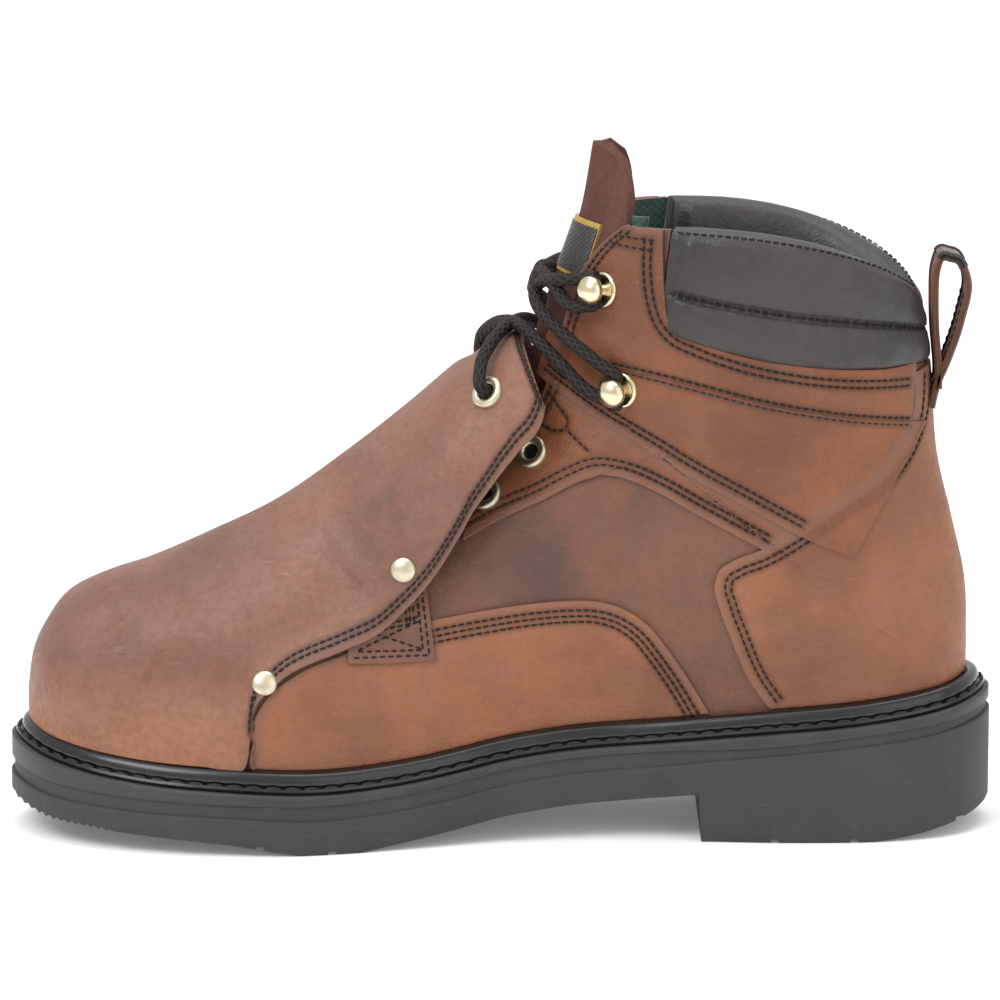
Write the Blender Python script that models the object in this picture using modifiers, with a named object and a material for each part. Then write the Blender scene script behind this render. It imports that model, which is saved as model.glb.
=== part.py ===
"""Work boot for the right foot, with a metatarsal guard over a laced leather upper.

Metres, +Z up. The toe points to -X, the heel to +X, the inner (medial) side faces -Y.
The origin is on the ground under the middle of the outsole.
Every leather piece is cut from one surface, the last: a fan of sections across the foot that
starts upright at the toe, leans back over the instep and lies almost level at the collar.
"""
import math

import bmesh
import bpy
import numpy as np
from mathutils import Matrix, Vector
from mathutils.bvhtree import BVHTree

# Sole
LENGTH = 0.318
BALL_WIDTH = 0.111
TREAD = 0.0112
BAND = 0.0048
MIDSOLE = 0.0036
HEEL_RISE = 0.0258
TOE_SPRING = 0.0114
HEEL_BEVEL = 0.008
TREAD_CHAMFER = 0.0012
BAND_RECESS = 0.0011
EDGE_CHAMFER = 0.0008
GROOVE_WIDTH = 0.0026
GROOVE_DEPTH = 0.0013
SLOT_WIDTH = 0.0038
SLOT_DEPTH = 0.0026
SLOT_END = 0.014

# Welt, insole and upper
FEATHER = 0.0092
WELT_LEDGE = 0.0016
WELT_EDGE = 0.0016
BEAD_HEIGHT = 0.0063
BEAD_WIDTH = 0.0048
BEAD_FIT = 0.0007
SKIN_GAP = 0.0010
INSOLE = 0.004
INSOLE_FIT = 0.0025
WALL = 0.0022
TOE_HEIGHT = 0.0592
INSTEP_HEIGHT = 0.107
SHAFT_HEIGHT = 0.1794
COLLAR_WIDTH = 0.080

# Overlays, guard, tongue and collar
GAP = 0.0003
OVERLAY = 0.0009
OVERLAY_GAP = 0.0006
GUARD_WALL = 0.0022
GUARD_GAP = 0.0012
GUARD_LIFT = 0.028
GUARD_WIDTH = 0.080
TONGUE = 0.004
TONGUE_GAP = 0.0012
COLLAR_PAD = 0.0115
COLLAR_BULGE = 0.003
LOOP_WIDTH = 0.016
LOOP_WALL = 0.0024
LOOP_HEIGHT = 0.041
LOOP_REACH = 0.010

# Hardware and lace
RIVET_RADIUS = 0.0041
EYELET_RADIUS = 0.0055
HOOK_BASE = 0.0052
HOOK_NECK = 0.0019
HOOK_BALL = 0.0043
HOOK_HEIGHT = 0.0092
SEAT = 0.0007
TURNED_STEPS = 8
LACE = 0.0042
LACE_GAP = 0.0008
LACE_SPACING = 0.0100
LACE_STEP = 0.0006

SOLE_TOP = TREAD + BAND + MIDSOLE
HALF = LENGTH / 2 - FEATHER
MEDIAL, LATERAL = -1, 1
SIDES = (("medial", MEDIAL), ("lateral", LATERAL))

# Outline of the sole: share of LENGTH from the heel, then the reach of the medial and of the
# lateral edge from the axis, in shares of BALL_WIDTH
OUTLINE = (
    (0.00, 0.000, 0.000),
    (0.05, 0.261, 0.257),
    (0.10, 0.311, 0.315),
    (0.20, 0.333, 0.346),
    (0.30, 0.315, 0.356),
    (0.40, 0.297, 0.374),
    (0.50, 0.333, 0.428),
    (0.60, 0.414, 0.482),
    (0.70, 0.484, 0.505),
    (0.80, 0.482, 0.468),
    (0.90, 0.405, 0.365),
    (0.95, 0.315, 0.261),
    (1.00, 0.045, -0.045),
)

# Side of the sole: share of LENGTH from the heel, then shares of HEEL_RISE, TOE_SPRING,
# MIDSOLE, BAND and TREAD
PROFILE = (
    (0.000, 1.000, 0.00, 1.25, 0.62, 1.000),
    (0.056, 0.860, 0.00, 1.15, 0.65, 1.000),
    (0.125, 0.737, 0.00, 1.00, 0.69, 1.000),
    (0.238, 0.605, 0.00, 1.20, 0.60, 0.950),
    (0.349, 0.470, 0.00, 0.75, 1.02, 0.910),
    (0.445, 0.368, 0.00, 0.80, 1.04, 0.910),
    (0.497, 0.279, 0.00, 0.85, 1.04, 0.910),
    (0.548, 0.155, 0.00, 0.90, 1.04, 0.915),
    (0.599, 0.060, 0.00, 0.95, 1.02, 0.950),
    (0.660, 0.000, 0.00, 1.00, 1.00, 1.060),
    (0.777, 0.000, 0.10, 1.17, 0.86, 0.770),
    (0.868, 0.000, 0.27, 1.38, 0.92, 0.665),
    (0.914, 0.000, 0.42, 1.64, 0.93, 0.670),
    (0.961, 0.000, 0.66, 2.05, 0.95, 0.685),
    (1.000, 0.000, 1.00, 2.30, 0.92, 0.670),
)
BREAST = 0.2985
BREAST_DRAFT = 0.002
BEVEL_START = 0.13
BEVEL_POWER = 1.6
GROOVES = (0.034, 0.143, 0.223, 0.669, 0.741)
SLOTS = (0.085, 0.114, 0.172, 0.254, 0.580, 0.611, 0.640, 0.698, 0.720, 0.770, 0.800, 0.830, 0.860)

# Foot sections of the last. foot and ridge: places along the foot, from -1 at the toe to 1 at
# the heel, in shares of HALF. height: of the ridge above the sole. centre: shift of the ridge.
# w1 to w5: half widths at five even steps from the feather line to the ridge.
FOOT_SECTIONS = (
    # foot, ridge, height, centre, w1, w2, w3, w4, w5
    (-1.000, -1.000, 0.407 * TOE_HEIGHT, -0.045, 0.000, 0.000, 0.000, 0.000, 0.000),
    (-0.988, -0.988, 0.623 * TOE_HEIGHT, -0.045, 0.113, 0.122, 0.122, 0.099, 0.059),
    (-0.955, -0.960, 0.773 * TOE_HEIGHT, -0.045, 0.212, 0.221, 0.221, 0.185, 0.108),
    (-0.895, -0.918, 0.907 * TOE_HEIGHT, -0.042, 0.275, 0.284, 0.284, 0.239, 0.140),
    (-0.814, -0.841, 1.000 * TOE_HEIGHT, -0.036, 0.333, 0.342, 0.333, 0.279, 0.162),
    (-0.720, -0.741, 1.083 * TOE_HEIGHT, -0.028, 0.383, 0.387, 0.369, 0.306, 0.171),
    (-0.600, -0.614, 0.667 * INSTEP_HEIGHT, -0.018, 0.422, 0.423, 0.383, 0.297, 0.162),
    (-0.467, -0.481, 0.714 * INSTEP_HEIGHT, -0.009, 0.437, 0.432, 0.378, 0.279, 0.144),
    (-0.320, -0.334, 0.753 * INSTEP_HEIGHT, -0.003, 0.419, 0.414, 0.360, 0.266, 0.135),
    (-0.167, -0.200, 0.819 * INSTEP_HEIGHT, 0.000, 0.369, 0.374, 0.333, 0.257, 0.131),
    (0.000, -0.080, 0.911 * INSTEP_HEIGHT, 0.000, 0.306, 0.324, 0.311, 0.257, 0.131),
    (0.187, -0.007, 0.995 * INSTEP_HEIGHT, 0.000, 0.266, 0.288, 0.297, 0.261, 0.135),
    (0.400, 0.033, 0.640 * SHAFT_HEIGHT, 0.000, 0.261, 0.284, 0.297, 0.266, 0.140),
    (0.634, 0.057, 0.677 * SHAFT_HEIGHT, 0.000, 0.266, 0.288, 0.311, 0.279, 0.144),
    (0.834, 0.070, 0.716 * SHAFT_HEIGHT, 0.000, 0.257, 0.293, 0.320, 0.288, 0.149),
    (0.955, 0.080, 0.749 * SHAFT_HEIGHT, 0.000, 0.225, 0.293, 0.324, 0.297, 0.153),
)

# Shaft sections, which start on the seam up the back. back: its place, in shares of HALF.
# rise: its height above the sole, in shares of SHAFT_HEIGHT. bow and sag: how far the section
# arches up behind and in the middle, in shares of SHAFT_HEIGHT. The rest as above.
SHAFT_SECTIONS = (
    # back, rise, ridge, height, bow, sag, w1, w2, w3, w4, w5
    (1.000, 0.144, 0.087, 0.771, 0.000, 0.000, 0.244, 0.406, 0.450, 0.425, 0.225),
    (1.001, 0.236, 0.093, 0.788, 0.000, 0.000, 0.250, 0.406, 0.456, 0.431, 0.231),
    (0.995, 0.337, 0.100, 0.808, 0.000, 0.000, 0.231, 0.394, 0.463, 0.438, 0.238),
    (0.965, 0.448, 0.107, 0.827, 0.000, -0.005, 0.213, 0.381, 0.463, 0.438, 0.244),
    (0.931, 0.571, 0.117, 0.849, 0.000, -0.015, 0.213, 0.388, 0.463, 0.438, 0.250),
    (0.915, 0.735, 0.134, 0.888, 0.000, -0.042, 0.231, 0.413, 0.475, 0.438, 0.250),
    (0.888, 0.849, 0.180, 1.000, 0.056, 0.020, 0.250, 0.433, 0.494, 0.444, 0.263),
    (0.870, 0.960, 0.215, 1.130, 0.056, 0.020, 0.256, 0.443, 0.500, 0.450, 0.269),
)
HEEL_SECTION = len(FOOT_SECTIONS)
COLLAR_SECTION = HEEL_SECTION + 5
TOP_SECTION = HEEL_SECTION + 6
THROAT_SECTION = 9.2
THROAT_EDGE = 0.875
FACING_EDGE = 0.665
BLEND_HEIGHT = 0.026

# The guard, from the toe to the top of its flap. edge: section that the free edge lies on.
# up: share of the way up that section, or None on the bead. reach: half width of the flap, in
# shares of GUARD_WIDTH. ridge: section that the ridge stands over.
GUARD_SECTIONS = (
    # edge, up, reach, ridge
    (0.00, None, 0.60, 0.00),
    (0.50, None, 0.60, 0.50),
    (1.00, None, 0.60, 1.00),
    (1.50, None, 0.60, 1.50),
    (2.00, None, 0.60, 2.00),
    (3.00, None, 0.60, 3.00),
    (4.00, None, 0.60, 4.00),
    (5.00, None, 0.60, 5.00),
    (5.80, None, 0.60, 5.80),
    (6.43, None, 0.60, 6.43),
    (6.60, 0.335, 0.59, 6.60),
    (6.87, 0.420, 0.58, 6.87),
    (7.27, 0.490, 0.57, 7.27),
    (8.00, 0.550, 0.56, 8.00),
    (8.45, 0.585, 0.54, 8.45),
    (8.85, 0.645, 0.51, 8.85),
    (9.30, 0.724, 0.49, 9.40),
    (9.80, 0.830, 0.47, 10.0),
    (10.2, 0.900, 0.46, 10.6),
    (10.9, 0.945, 0.45, 11.6),
    (11.6, 0.955, 0.45, 12.6),
    (12.5, 0.950, 0.45, 13.6),
    (13.3, 0.955, 0.43, 14.7),
    (13.7, 0.960, 0.40, 15.4),
)
# Lift of the guard's ridge over the last: section, share of GUARD_LIFT
GUARD_RIDGE = ((0.0, 0.00), (4.0, 0.00), (5.0, 0.00), (6.0, 0.04), (7.0, 0.21), (8.0, 0.60), (9.0, 0.88),
               (10.0, 1.01), (11.0, 0.86), (12.0, 0.70), (13.0, 0.575), (14.0, 0.42), (15.0, 0.235), (15.5, 0.125))
FLAP_START = 7.27
FLAP_FREE = 9.30

# Overlays, in the side view: place along the foot in shares of HALF, height over SOLE_TOP in
# shares of INSTEP_HEIGHT
WING = (
    # place, top
    (-0.528, 0.150), (-0.518, 0.225), (-0.487, 0.290), (-0.427, 0.350), (-0.320, 0.405), (-0.254, 0.452),
    (-0.200, 0.477), (-0.147, 0.490), (-0.067, 0.523), (0.000, 0.546), (0.087, 0.564), (0.147, 0.574),
    (0.214, 0.564), (0.267, 0.537), (0.314, 0.462), (0.380, 0.350), (0.434, 0.238),
)
TAB = (
    # place, foot, top
    (-0.320, 0.380, 0.402), (-0.254, 0.384, 0.450), (-0.200, 0.388, 0.512), (-0.150, 0.392, 0.590),
)
COUNTER_FRONT = (
    # place, height
    (0.581, None), (0.567, 0.256), (0.507, 0.406), (0.474, 0.565), (0.474, 0.621), (0.492, 0.672),
    (0.554, 0.723), (0.634, 0.779), (0.741, 0.854), (0.828, 0.957), (0.854, 1.078), (0.874, 1.210),
)
FACING = (
    # section, rear edge
    (9.6, 0.720), (10.5, 0.745), (11.5, 0.730), (12.5, 0.715), (14.0, 0.705), (16.0, 0.700), (18.0, 0.690),
    (19.0, 0.680), (20.0, 0.672), (21.0, 0.665), (21.5, 0.665), (22.0, 0.665),
)

# Padded collar: share of the way from the upper's edge to the top, then the distance from the
# last outwards in shares of COLLAR_BULGE and inwards in shares of COLLAR_PAD
COLLAR_PROFILE = (
    # up, out, in
    (0.02, 0.10, 0.00), (0.16, 0.85, 0.00), (0.32, 0.90, 0.00), (0.42, 0.30, 0.00), (0.54, 0.95, 0.00),
    (0.78, 1.00, 0.00), (0.93, 0.45, 0.00), (1.00, 0.00, 0.28), (1.00, 0.00, 0.68), (0.88, 0.00, 0.92),
    (0.60, 0.00, 1.00), (0.25, 0.00, 0.97), (0.02, 0.00, 0.85),
)
# Pull loop: shares of LOOP_REACH behind the seam and of LOOP_HEIGHT over its foot
LOOP_PATH = (
    # behind, up
    (0.08, 0.000), (0.37, 0.240), (0.71, 0.510), (0.91, 0.780), (0.75, 0.920), (0.34, 0.995), (-0.01, 0.975),
    (-0.13, 0.860), (-0.15, 0.640), (-0.14, 0.420), (-0.07, 0.270),
)

# Hardware, in the side view as the overlays
RIVETS = ((-0.207, 0.658), (-0.501, 0.331))
GUARD_EYELET = (-0.027, 1.172)
THROAT_EYELETS = ((0.073, 0.976), (-0.027, 0.845))
HOOKS = ((0.260, 1.191), (0.220, 1.480))

# Route of the lace in metres, for the strand that comes out of the medial guard eyelet. Side 1 is
# the lateral side. The strand goes round the hooks between the runs.
LACE_OVER_GUARD = (
    # x, y, z
    (-0.0064, -0.0245, 0.1532), (-0.0030, -0.0150, 0.1592), (0.0030, -0.0010, 0.1630),
    (0.0095, 0.0150, 0.1618), (0.0190, 0.0265, 0.1540), (0.0280, 0.0325, 0.1460),
)
LACE_OVER_TONGUE = (
    (0.0300, 0.0330, 0.1560), (0.0190, 0.0250, 0.1640), (0.0110, 0.0110, 0.1725), (0.0125, 0.0000, 0.1800),
    (0.0170, -0.0160, 0.1780), (0.0240, -0.0270, 0.1730),
)
LACE_TOP = (
    (0.0210, -0.0230, 0.1810), (0.0140, -0.0120, 0.1790), (0.0105, 0.0000, 0.1745),
)


def smooth(xs, ys, x):
    """Smooth curve through a table's points."""
    xs = np.asarray(xs, float)
    ys = np.asarray(ys, float)
    slopes = np.gradient(ys, xs)
    i = int(np.clip(np.searchsorted(xs, x) - 1, 0, len(xs) - 2))
    step = xs[i + 1] - xs[i]
    t = (x - xs[i]) / step
    h00, h10 = 2 * t**3 - 3 * t**2 + 1, t**3 - 2 * t**2 + t
    h01, h11 = 3 * t**2 - 2 * t**3, t**3 - t**2
    return float(h00 * ys[i] + h10 * step * slopes[i] + h01 * ys[i + 1] + h11 * step * slopes[i + 1])


def column(table, index):
    return [row[index] for row in table]


def clamp(value, low, high):
    return max(low, min(high, value))


# Sole surfaces
OUTLINE_ANGLE = [math.acos(1 - 2 * share) for share in column(OUTLINE, 0)]


def edge_reach(angle, side):
    """Reach of the sole's edge from the axis; the angle runs from 0 at the heel to pi at the toe."""
    return BALL_WIDTH * smooth(OUTLINE_ANGLE, column(OUTLINE, 1 if side == MEDIAL else 2), angle)


def edge_point(angle, side, inset):
    """Point in plan on the sole's outline, moved in from the edge."""
    step = 0.002
    low, high = max(angle - step, 0.0), min(angle + step, math.pi)
    y0, y1 = edge_reach(low, side), edge_reach(high, side)
    along = Vector((LENGTH / 2 * (math.cos(high) - math.cos(low)), side * (y1 - y0)))
    along.normalize()
    out = Vector((-along.y, along.x)) * -side
    if angle <= 0.0:
        out = Vector((1.0, 0.0))
    if angle >= math.pi:
        out = Vector((-1.0, 0.0))
    x, y = LENGTH / 2 * math.cos(angle), side * edge_reach(angle, side) - AXIS_SHIFT
    return x - out.x * inset, y - out.y * inset


def profile(x, index):
    """Value of a column of the sole's side view at a place along the foot."""
    return smooth(column(PROFILE, 0), column(PROFILE, index), clamp(0.5 - x / LENGTH, 0.0, 1.0))


def sole_top(x):
    return SOLE_TOP + HEEL_RISE * profile(x, 1) + TOE_SPRING * profile(x, 2)


def band_top(x):
    return sole_top(x) - MIDSOLE * profile(x, 3)


def band_bottom(x):
    return band_top(x) - BAND * profile(x, 4)


def tread_bottom(x):
    share = 0.5 - x / LENGTH
    if share < BREAST:
        rear = clamp(1 - share / BEVEL_START, 0.0, 1.0)
        return HEEL_BEVEL * rear**BEVEL_POWER
    return max(0.0, band_bottom(x) - TREAD * profile(x, 5))


STATION_COUNT = 32
BREAST_CLEAR = 0.03
BREAST_ANGLES = [math.acos(1 - 2 * share) for share in (BREAST - BREAST_DRAFT / 2, BREAST + BREAST_DRAFT / 2)]
STATIONS = sorted([math.pi * i / STATION_COUNT for i in range(STATION_COUNT + 1)
                   if abs(math.pi * i / STATION_COUNT - BREAST_ANGLES[0]) > BREAST_CLEAR] + BREAST_ANGLES)
# The sole's widest points, medial and lateral, lie equally far from the origin
AXIS_SHIFT = (max(edge_reach(a, LATERAL) for a in STATIONS) - max(edge_reach(a, MEDIAL) for a in STATIONS)) / 2


# The last
def inner_edge(side):
    """Sole outline moved in to the feather line, as places and reaches from the heel to the toe."""
    points = [edge_point(angle, side, FEATHER) for angle in np.linspace(0, math.pi, 121)]
    xs = np.array([p[0] for p in points])[::-1]
    ys = np.array([side * p[1] for p in points])[::-1]
    return np.maximum.accumulate(xs), ys


INNER = {side: inner_edge(side) for side in (MEDIAL, LATERAL)}


def feather_reach(x, side):
    xs, ys = INNER[side]
    return float(np.interp(x, xs, ys))


ROWS = len(FOOT_SECTIONS) + len(SHAFT_SECTIONS)
INDEX = list(range(ROWS))
FOOT_INDEX = INDEX[:HEEL_SECTION + 1]
SHAFT_INDEX = INDEX[HEEL_SECTION:]
FOOT_PLACE = column(FOOT_SECTIONS, 0) + [1.0]
BACK_PLACE = column(SHAFT_SECTIONS, 0)
BACK_RISE = [HEEL_RISE / SHAFT_HEIGHT] + column(SHAFT_SECTIONS, 1)[1:]
RIDGE_PLACE = column(FOOT_SECTIONS, 1) + column(SHAFT_SECTIONS, 2)
RIDGE_HEIGHT = column(FOOT_SECTIONS, 2) + [SHAFT_HEIGHT * s for s in column(SHAFT_SECTIONS, 3)]
CENTRE = column(FOOT_SECTIONS, 3) + [0.0] * len(SHAFT_SECTIONS)
BOW = [0.0] * HEEL_SECTION + column(SHAFT_SECTIONS, 4)
SAG = [0.0] * HEEL_SECTION + column(SHAFT_SECTIONS, 5)
WIDTHS = [[BALL_WIDTH * w for w in row[4:]] for row in FOOT_SECTIONS]
WIDTHS += [[COLLAR_WIDTH * w for w in row[6:]] for row in SHAFT_SECTIONS]
STEPS = [i / 6 for i in range(7)]


def section_ends(r):
    """Start and ridge of a section, as (x, z)."""
    if r <= HEEL_SECTION:
        x = HALF * smooth(FOOT_INDEX, FOOT_PLACE, r)
        start = (x, sole_top(x) + GAP)
    else:
        start = (HALF * smooth(SHAFT_INDEX, BACK_PLACE, r),
                 SOLE_TOP + GAP + SHAFT_HEIGHT * smooth(SHAFT_INDEX, BACK_RISE, r))
    ridge = (HALF * smooth(INDEX, RIDGE_PLACE, r), SOLE_TOP + smooth(INDEX, RIDGE_HEIGHT, r))
    return start, ridge


def share_up(a):
    """Share of the way up a section at the even step a, with close steps at both ends."""
    return (1 - math.cos(math.pi * a)) / 2


def side_place(r, a):
    """Place of a point of the last in the side view."""
    (x0, z0), (x1, z1) = section_ends(r)
    s = share_up(a)
    lift = smooth(INDEX, BOW, r) * math.sin(math.pi * math.sqrt(s)) + smooth(INDEX, SAG, r) * math.sin(math.pi * s)
    return x0 + (x1 - x0) * s, z0 + (z1 - z0) * s + SHAFT_HEIGHT * lift


def last_reach(r, a, side):
    """Reach of the last from the axis on one side."""
    x, z = side_place(r, a)
    x0 = section_ends(r)[0][0]
    low = feather_reach(x, side)
    foot = feather_reach(x0, side) if r < HEEL_SECTION else 0.0
    other = feather_reach(x0, -side) if r < HEEL_SECTION else 0.0
    ridge_shift = side * BALL_WIDTH * smooth(INDEX, CENTRE, r)
    foot_shift = (foot - other) / 2
    widths = [(foot + other) / 2] + [smooth(INDEX, column(WIDTHS, i), r) for i in range(5)] + [0.0]
    s = share_up(a)
    high = smooth(STEPS, widths, a) + foot_shift * (1 - s) + ridge_shift * s
    t = clamp((z - sole_top(x) - GAP - BEAD_HEIGHT) / BLEND_HEIGHT, 0.0, 1.0)
    t = t * t * (3 - 2 * t)
    return low + (high - low) * t


def last(r, a, side):
    x, z = side_place(r, a)
    return Vector((x, side * last_reach(r, a, side), z))


def last_normal(r, a, side):
    """Outward direction of the last."""
    a = clamp(a, 0.03, 0.985)
    r = clamp(r, 0.02, ROWS - 1.02)
    up = last(r, a + 0.01, side) - last(r, a - 0.01, side)
    along = last(r + 0.02, a, side) - last(r - 0.02, a, side)
    return (up.cross(along) * side).normalized()


def on_last(r, a, side, offset):
    out = last_normal(r, a, side)
    if a > 0.999 or r < 0.001:
        out.y = 0.0
        out.normalize()
    if a < 0.001 and r >= HEEL_SECTION:
        out.y = 0.0
        out.normalize()
    return last(r, a, side) + out * offset


def section_at(x, z):
    """Section and step of the last behind a place in the side view."""
    low, high = 0.0, ROWS - 1.0
    for _ in range(40):
        mid = (low + high) / 2
        (x0, z0), (x1, z1) = section_ends(mid)
        along = ((x - x0) * (x1 - x0) + (z - z0) * (z1 - z0)) / ((x1 - x0)**2 + (z1 - z0)**2)
        s = clamp(along, 0.0, 1.0)
        lift = smooth(INDEX, BOW, mid) * math.sin(math.pi * math.sqrt(s))
        lift += smooth(INDEX, SAG, mid) * math.sin(math.pi * s)
        dz = z - SHAFT_HEIGHT * lift - z0
        if (x1 - x0) * dz - (z1 - z0) * (x - x0) < 0:
            low = mid
        else:
            high = mid
    r = (low + high) / 2
    (x0, z0), (x1, z1) = section_ends(r)
    s = clamp(((x - x0) * (x1 - x0) + (z - z0) * (z1 - z0)) / ((x1 - x0)**2 + (z1 - z0)**2), 0.0, 1.0)
    return r, math.acos(1 - 2 * s) / math.pi


# Making objects
def clear_scene():
    for old in list(bpy.data.objects):
        bpy.data.objects.remove(old, do_unlink=True)


def collection(name):
    made = bpy.data.collections.new(name)
    bpy.context.scene.collection.children.link(made)
    return made


def material(name, colour, roughness, metallic=0.0):
    made = bpy.data.materials.new(name)
    made.use_nodes = True
    shader = made.node_tree.nodes["Principled BSDF"]
    shader.inputs["Base Color"].default_value = (*colour, 1.0)
    shader.inputs["Roughness"].default_value = roughness
    shader.inputs["Metallic"].default_value = metallic
    return made


def add_mesh(name, points, faces, finish, where):
    """New object from points and faces, its doubles merged."""
    mesh = bpy.data.meshes.new(name)
    mesh.from_pydata([tuple(p) for p in points], [], faces)
    bm = bmesh.new()
    bm.from_mesh(mesh)
    bmesh.ops.remove_doubles(bm, verts=bm.verts, dist=1e-6)
    bmesh.ops.dissolve_degenerate(bm, edges=bm.edges, dist=1e-7)
    bm.to_mesh(mesh)
    bm.free()
    mesh.shade_smooth()
    mesh.set_sharp_from_angle(angle=math.radians(40))
    mesh.materials.append(finish)
    thing = bpy.data.objects.new(name, mesh)
    where.objects.link(thing)
    return thing


def grid_faces(rows, columns, closed_rows=False, closed_columns=False):
    faces = []
    for i in range(rows if closed_rows else rows - 1):
        for j in range(columns if closed_columns else columns - 1):
            k, m = (i + 1) % rows, (j + 1) % columns
            faces.append((i * columns + j, i * columns + m, k * columns + m, k * columns + j))
    return faces


def solidify(thing, thickness):
    wall = thing.modifiers.new("wall", "SOLIDIFY")
    wall.thickness = thickness
    wall.offset = -1.0
    wall.use_even_offset = True


def ring(inset, height):
    """One closed level of a sole plate; height is a function of x."""
    flat = [edge_point(angle, MEDIAL, inset) for angle in STATIONS]
    flat += [edge_point(angle, LATERAL, inset) for angle in reversed(STATIONS[1:-1])]
    return [(x, y, height(x)) for x, y in flat]


def plate(name, levels, finish, where):
    """Solid plate through levels from its lower face to its upper face."""
    count = 2 * len(STATIONS) - 2
    points = [p for inset, height in levels for p in ring(inset, height)]
    faces = [face[::-1] for face in grid_faces(len(levels), count, closed_columns=True)]
    top = (len(levels) - 1) * count
    for i in range(len(STATIONS) - 1):
        j, k = (count - i) % count, count - i - 1
        cap = tuple(dict.fromkeys((i, i + 1, k, j)))
        faces.append(cap)
        faces.append(tuple(top + v for v in cap[::-1]))
    return add_mesh(name, points, faces, finish, where)


def cutter_box(bm, low, high):
    centre = (Vector(low) + Vector(high)) / 2
    size = Vector(high) - Vector(low)
    made = bmesh.ops.create_cube(bm, size=1.0)
    bmesh.ops.scale(bm, vec=size, verts=made["verts"])
    bmesh.ops.translate(bm, vec=centre, verts=made["verts"])


def outsole(finish, where, cutters):
    """Moulded tread with its heel block, a recessed band above it and grooves below."""
    levels = (
        (TREAD_CHAMFER, tread_bottom),
        (0.0, lambda x: tread_bottom(x) + TREAD_CHAMFER),
        (0.0, band_bottom),
        (BAND_RECESS, lambda x: band_bottom(x) + GAP),
        (BAND_RECESS, band_top),
    )
    thing = plate("outsole", levels, finish, where)
    bm = bmesh.new()
    for share in GROOVES:
        x = LENGTH * (0.5 - share)
        top = tread_bottom(x) + GROOVE_DEPTH
        cutter_box(bm, (x - GROOVE_WIDTH / 2, -BALL_WIDTH, -TREAD), (x + GROOVE_WIDTH / 2, BALL_WIDTH, top))
    for share in SLOTS:
        x = LENGTH * (0.5 - share)
        angle = math.acos(1 - 2 * share)
        low, high = -edge_reach(angle, MEDIAL) + SLOT_END, edge_reach(angle, LATERAL) - SLOT_END
        top = tread_bottom(x) + SLOT_DEPTH
        cutter_box(bm, (x - SLOT_WIDTH / 2, low, -TREAD), (x + SLOT_WIDTH / 2, high, top))
    mesh = bpy.data.meshes.new("tread_cutter")
    bm.to_mesh(mesh)
    bm.free()
    cutter = bpy.data.objects.new("tread_cutter", mesh)
    cutter.hide_render = True
    cutter.display_type = "WIRE"
    cutters.objects.link(cutter)
    cut = thing.modifiers.new("tread", "BOOLEAN")
    cut.operation = "DIFFERENCE"
    cut.solver = "EXACT"
    cut.object = cutter


def midsole(finish, where):
    levels = (
        (BAND_RECESS / 2, lambda x: band_top(x) + GAP),
        (BAND_RECESS / 2, lambda x: sole_top(x) - EDGE_CHAMFER),
        (BAND_RECESS / 2 + EDGE_CHAMFER, sole_top),
    )
    plate("midsole", levels, finish, where)


def welt(finish, where):
    """Stitched ledge with a rolled bead that leans on the upper."""
    inner = FEATHER - BEAD_FIT
    outer = inner - BEAD_WIDTH
    section = (
        # moved in from the edge, height over the sole
        (WELT_EDGE, 0.0),
        (WELT_EDGE + 0.12 * WELT_LEDGE, WELT_LEDGE),
        (outer + 0.10 * BEAD_WIDTH, WELT_LEDGE + 0.03 * BEAD_HEIGHT),
        (outer, 0.52 * BEAD_HEIGHT),
        (outer + 0.12 * BEAD_WIDTH, 0.80 * BEAD_HEIGHT),
        (outer + 0.50 * BEAD_WIDTH, BEAD_HEIGHT),
        (inner, 0.88 * BEAD_HEIGHT),
        (inner, 0.0),
    )
    rings = [ring(inset, lambda x, h=h: sole_top(x) + GAP + h) for inset, h in section]
    points = [p for level in rings for p in level]
    faces = [face[::-1] for face in grid_faces(len(rings), len(rings[0]), True, True)]
    add_mesh("welt", points, faces, finish, where)


def insole(finish, where):
    inset = FEATHER + WALL + INSOLE_FIT
    levels = (
        (inset, lambda x: sole_top(x) + GAP),
        (inset, lambda x: sole_top(x) + GAP + INSOLE),
    )
    plate("insole", levels, finish, where)


UPPER_ROWS = [0, 0.5, 1, 1.5] + list(range(2, 10)) + [THROAT_SECTION] + list(range(10, TOP_SECTION))
UPPER_ROWS += [COLLAR_SECTION + 0.5, TOP_SECTION]
UPPER_STEPS = [0, 0.1, 0.19, 0.29, 0.41, 0.54, FACING_EDGE, 0.77, THROAT_EDGE, 0.94, 1.0]


def upper(finish, where):
    """Leather shell, open at the collar, at the throat and underneath."""
    columns = [(MEDIAL, a) for a in UPPER_STEPS] + [(LATERAL, a) for a in UPPER_STEPS[-2::-1]]
    rows = UPPER_ROWS
    points = [last(r, a, side) if a < 0.999 else on_last(r, 1.0, MEDIAL, 0.0) for r in rows for side, a in columns]
    faces = []
    for i in range(len(rows) - 1):
        middle = (rows[i] + rows[i + 1]) / 2
        for j in range(len(columns) - 1):
            a = (columns[j][1] + columns[j + 1][1]) / 2
            if middle > THROAT_SECTION and a > THROAT_EDGE:
                continue
            if middle > COLLAR_SECTION and a < FACING_EDGE:
                continue
            k = i * len(columns) + j
            faces.append((k, k + len(columns), k + len(columns) + 1, k + 1))
    thing = add_mesh("upper", points, faces, finish, where)
    solidify(thing, WALL)
    return thing


def skin_height(x):
    """Height of the bead's top, where the outer leather starts."""
    return sole_top(x) + GAP + BEAD_HEIGHT + SKIN_GAP


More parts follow.
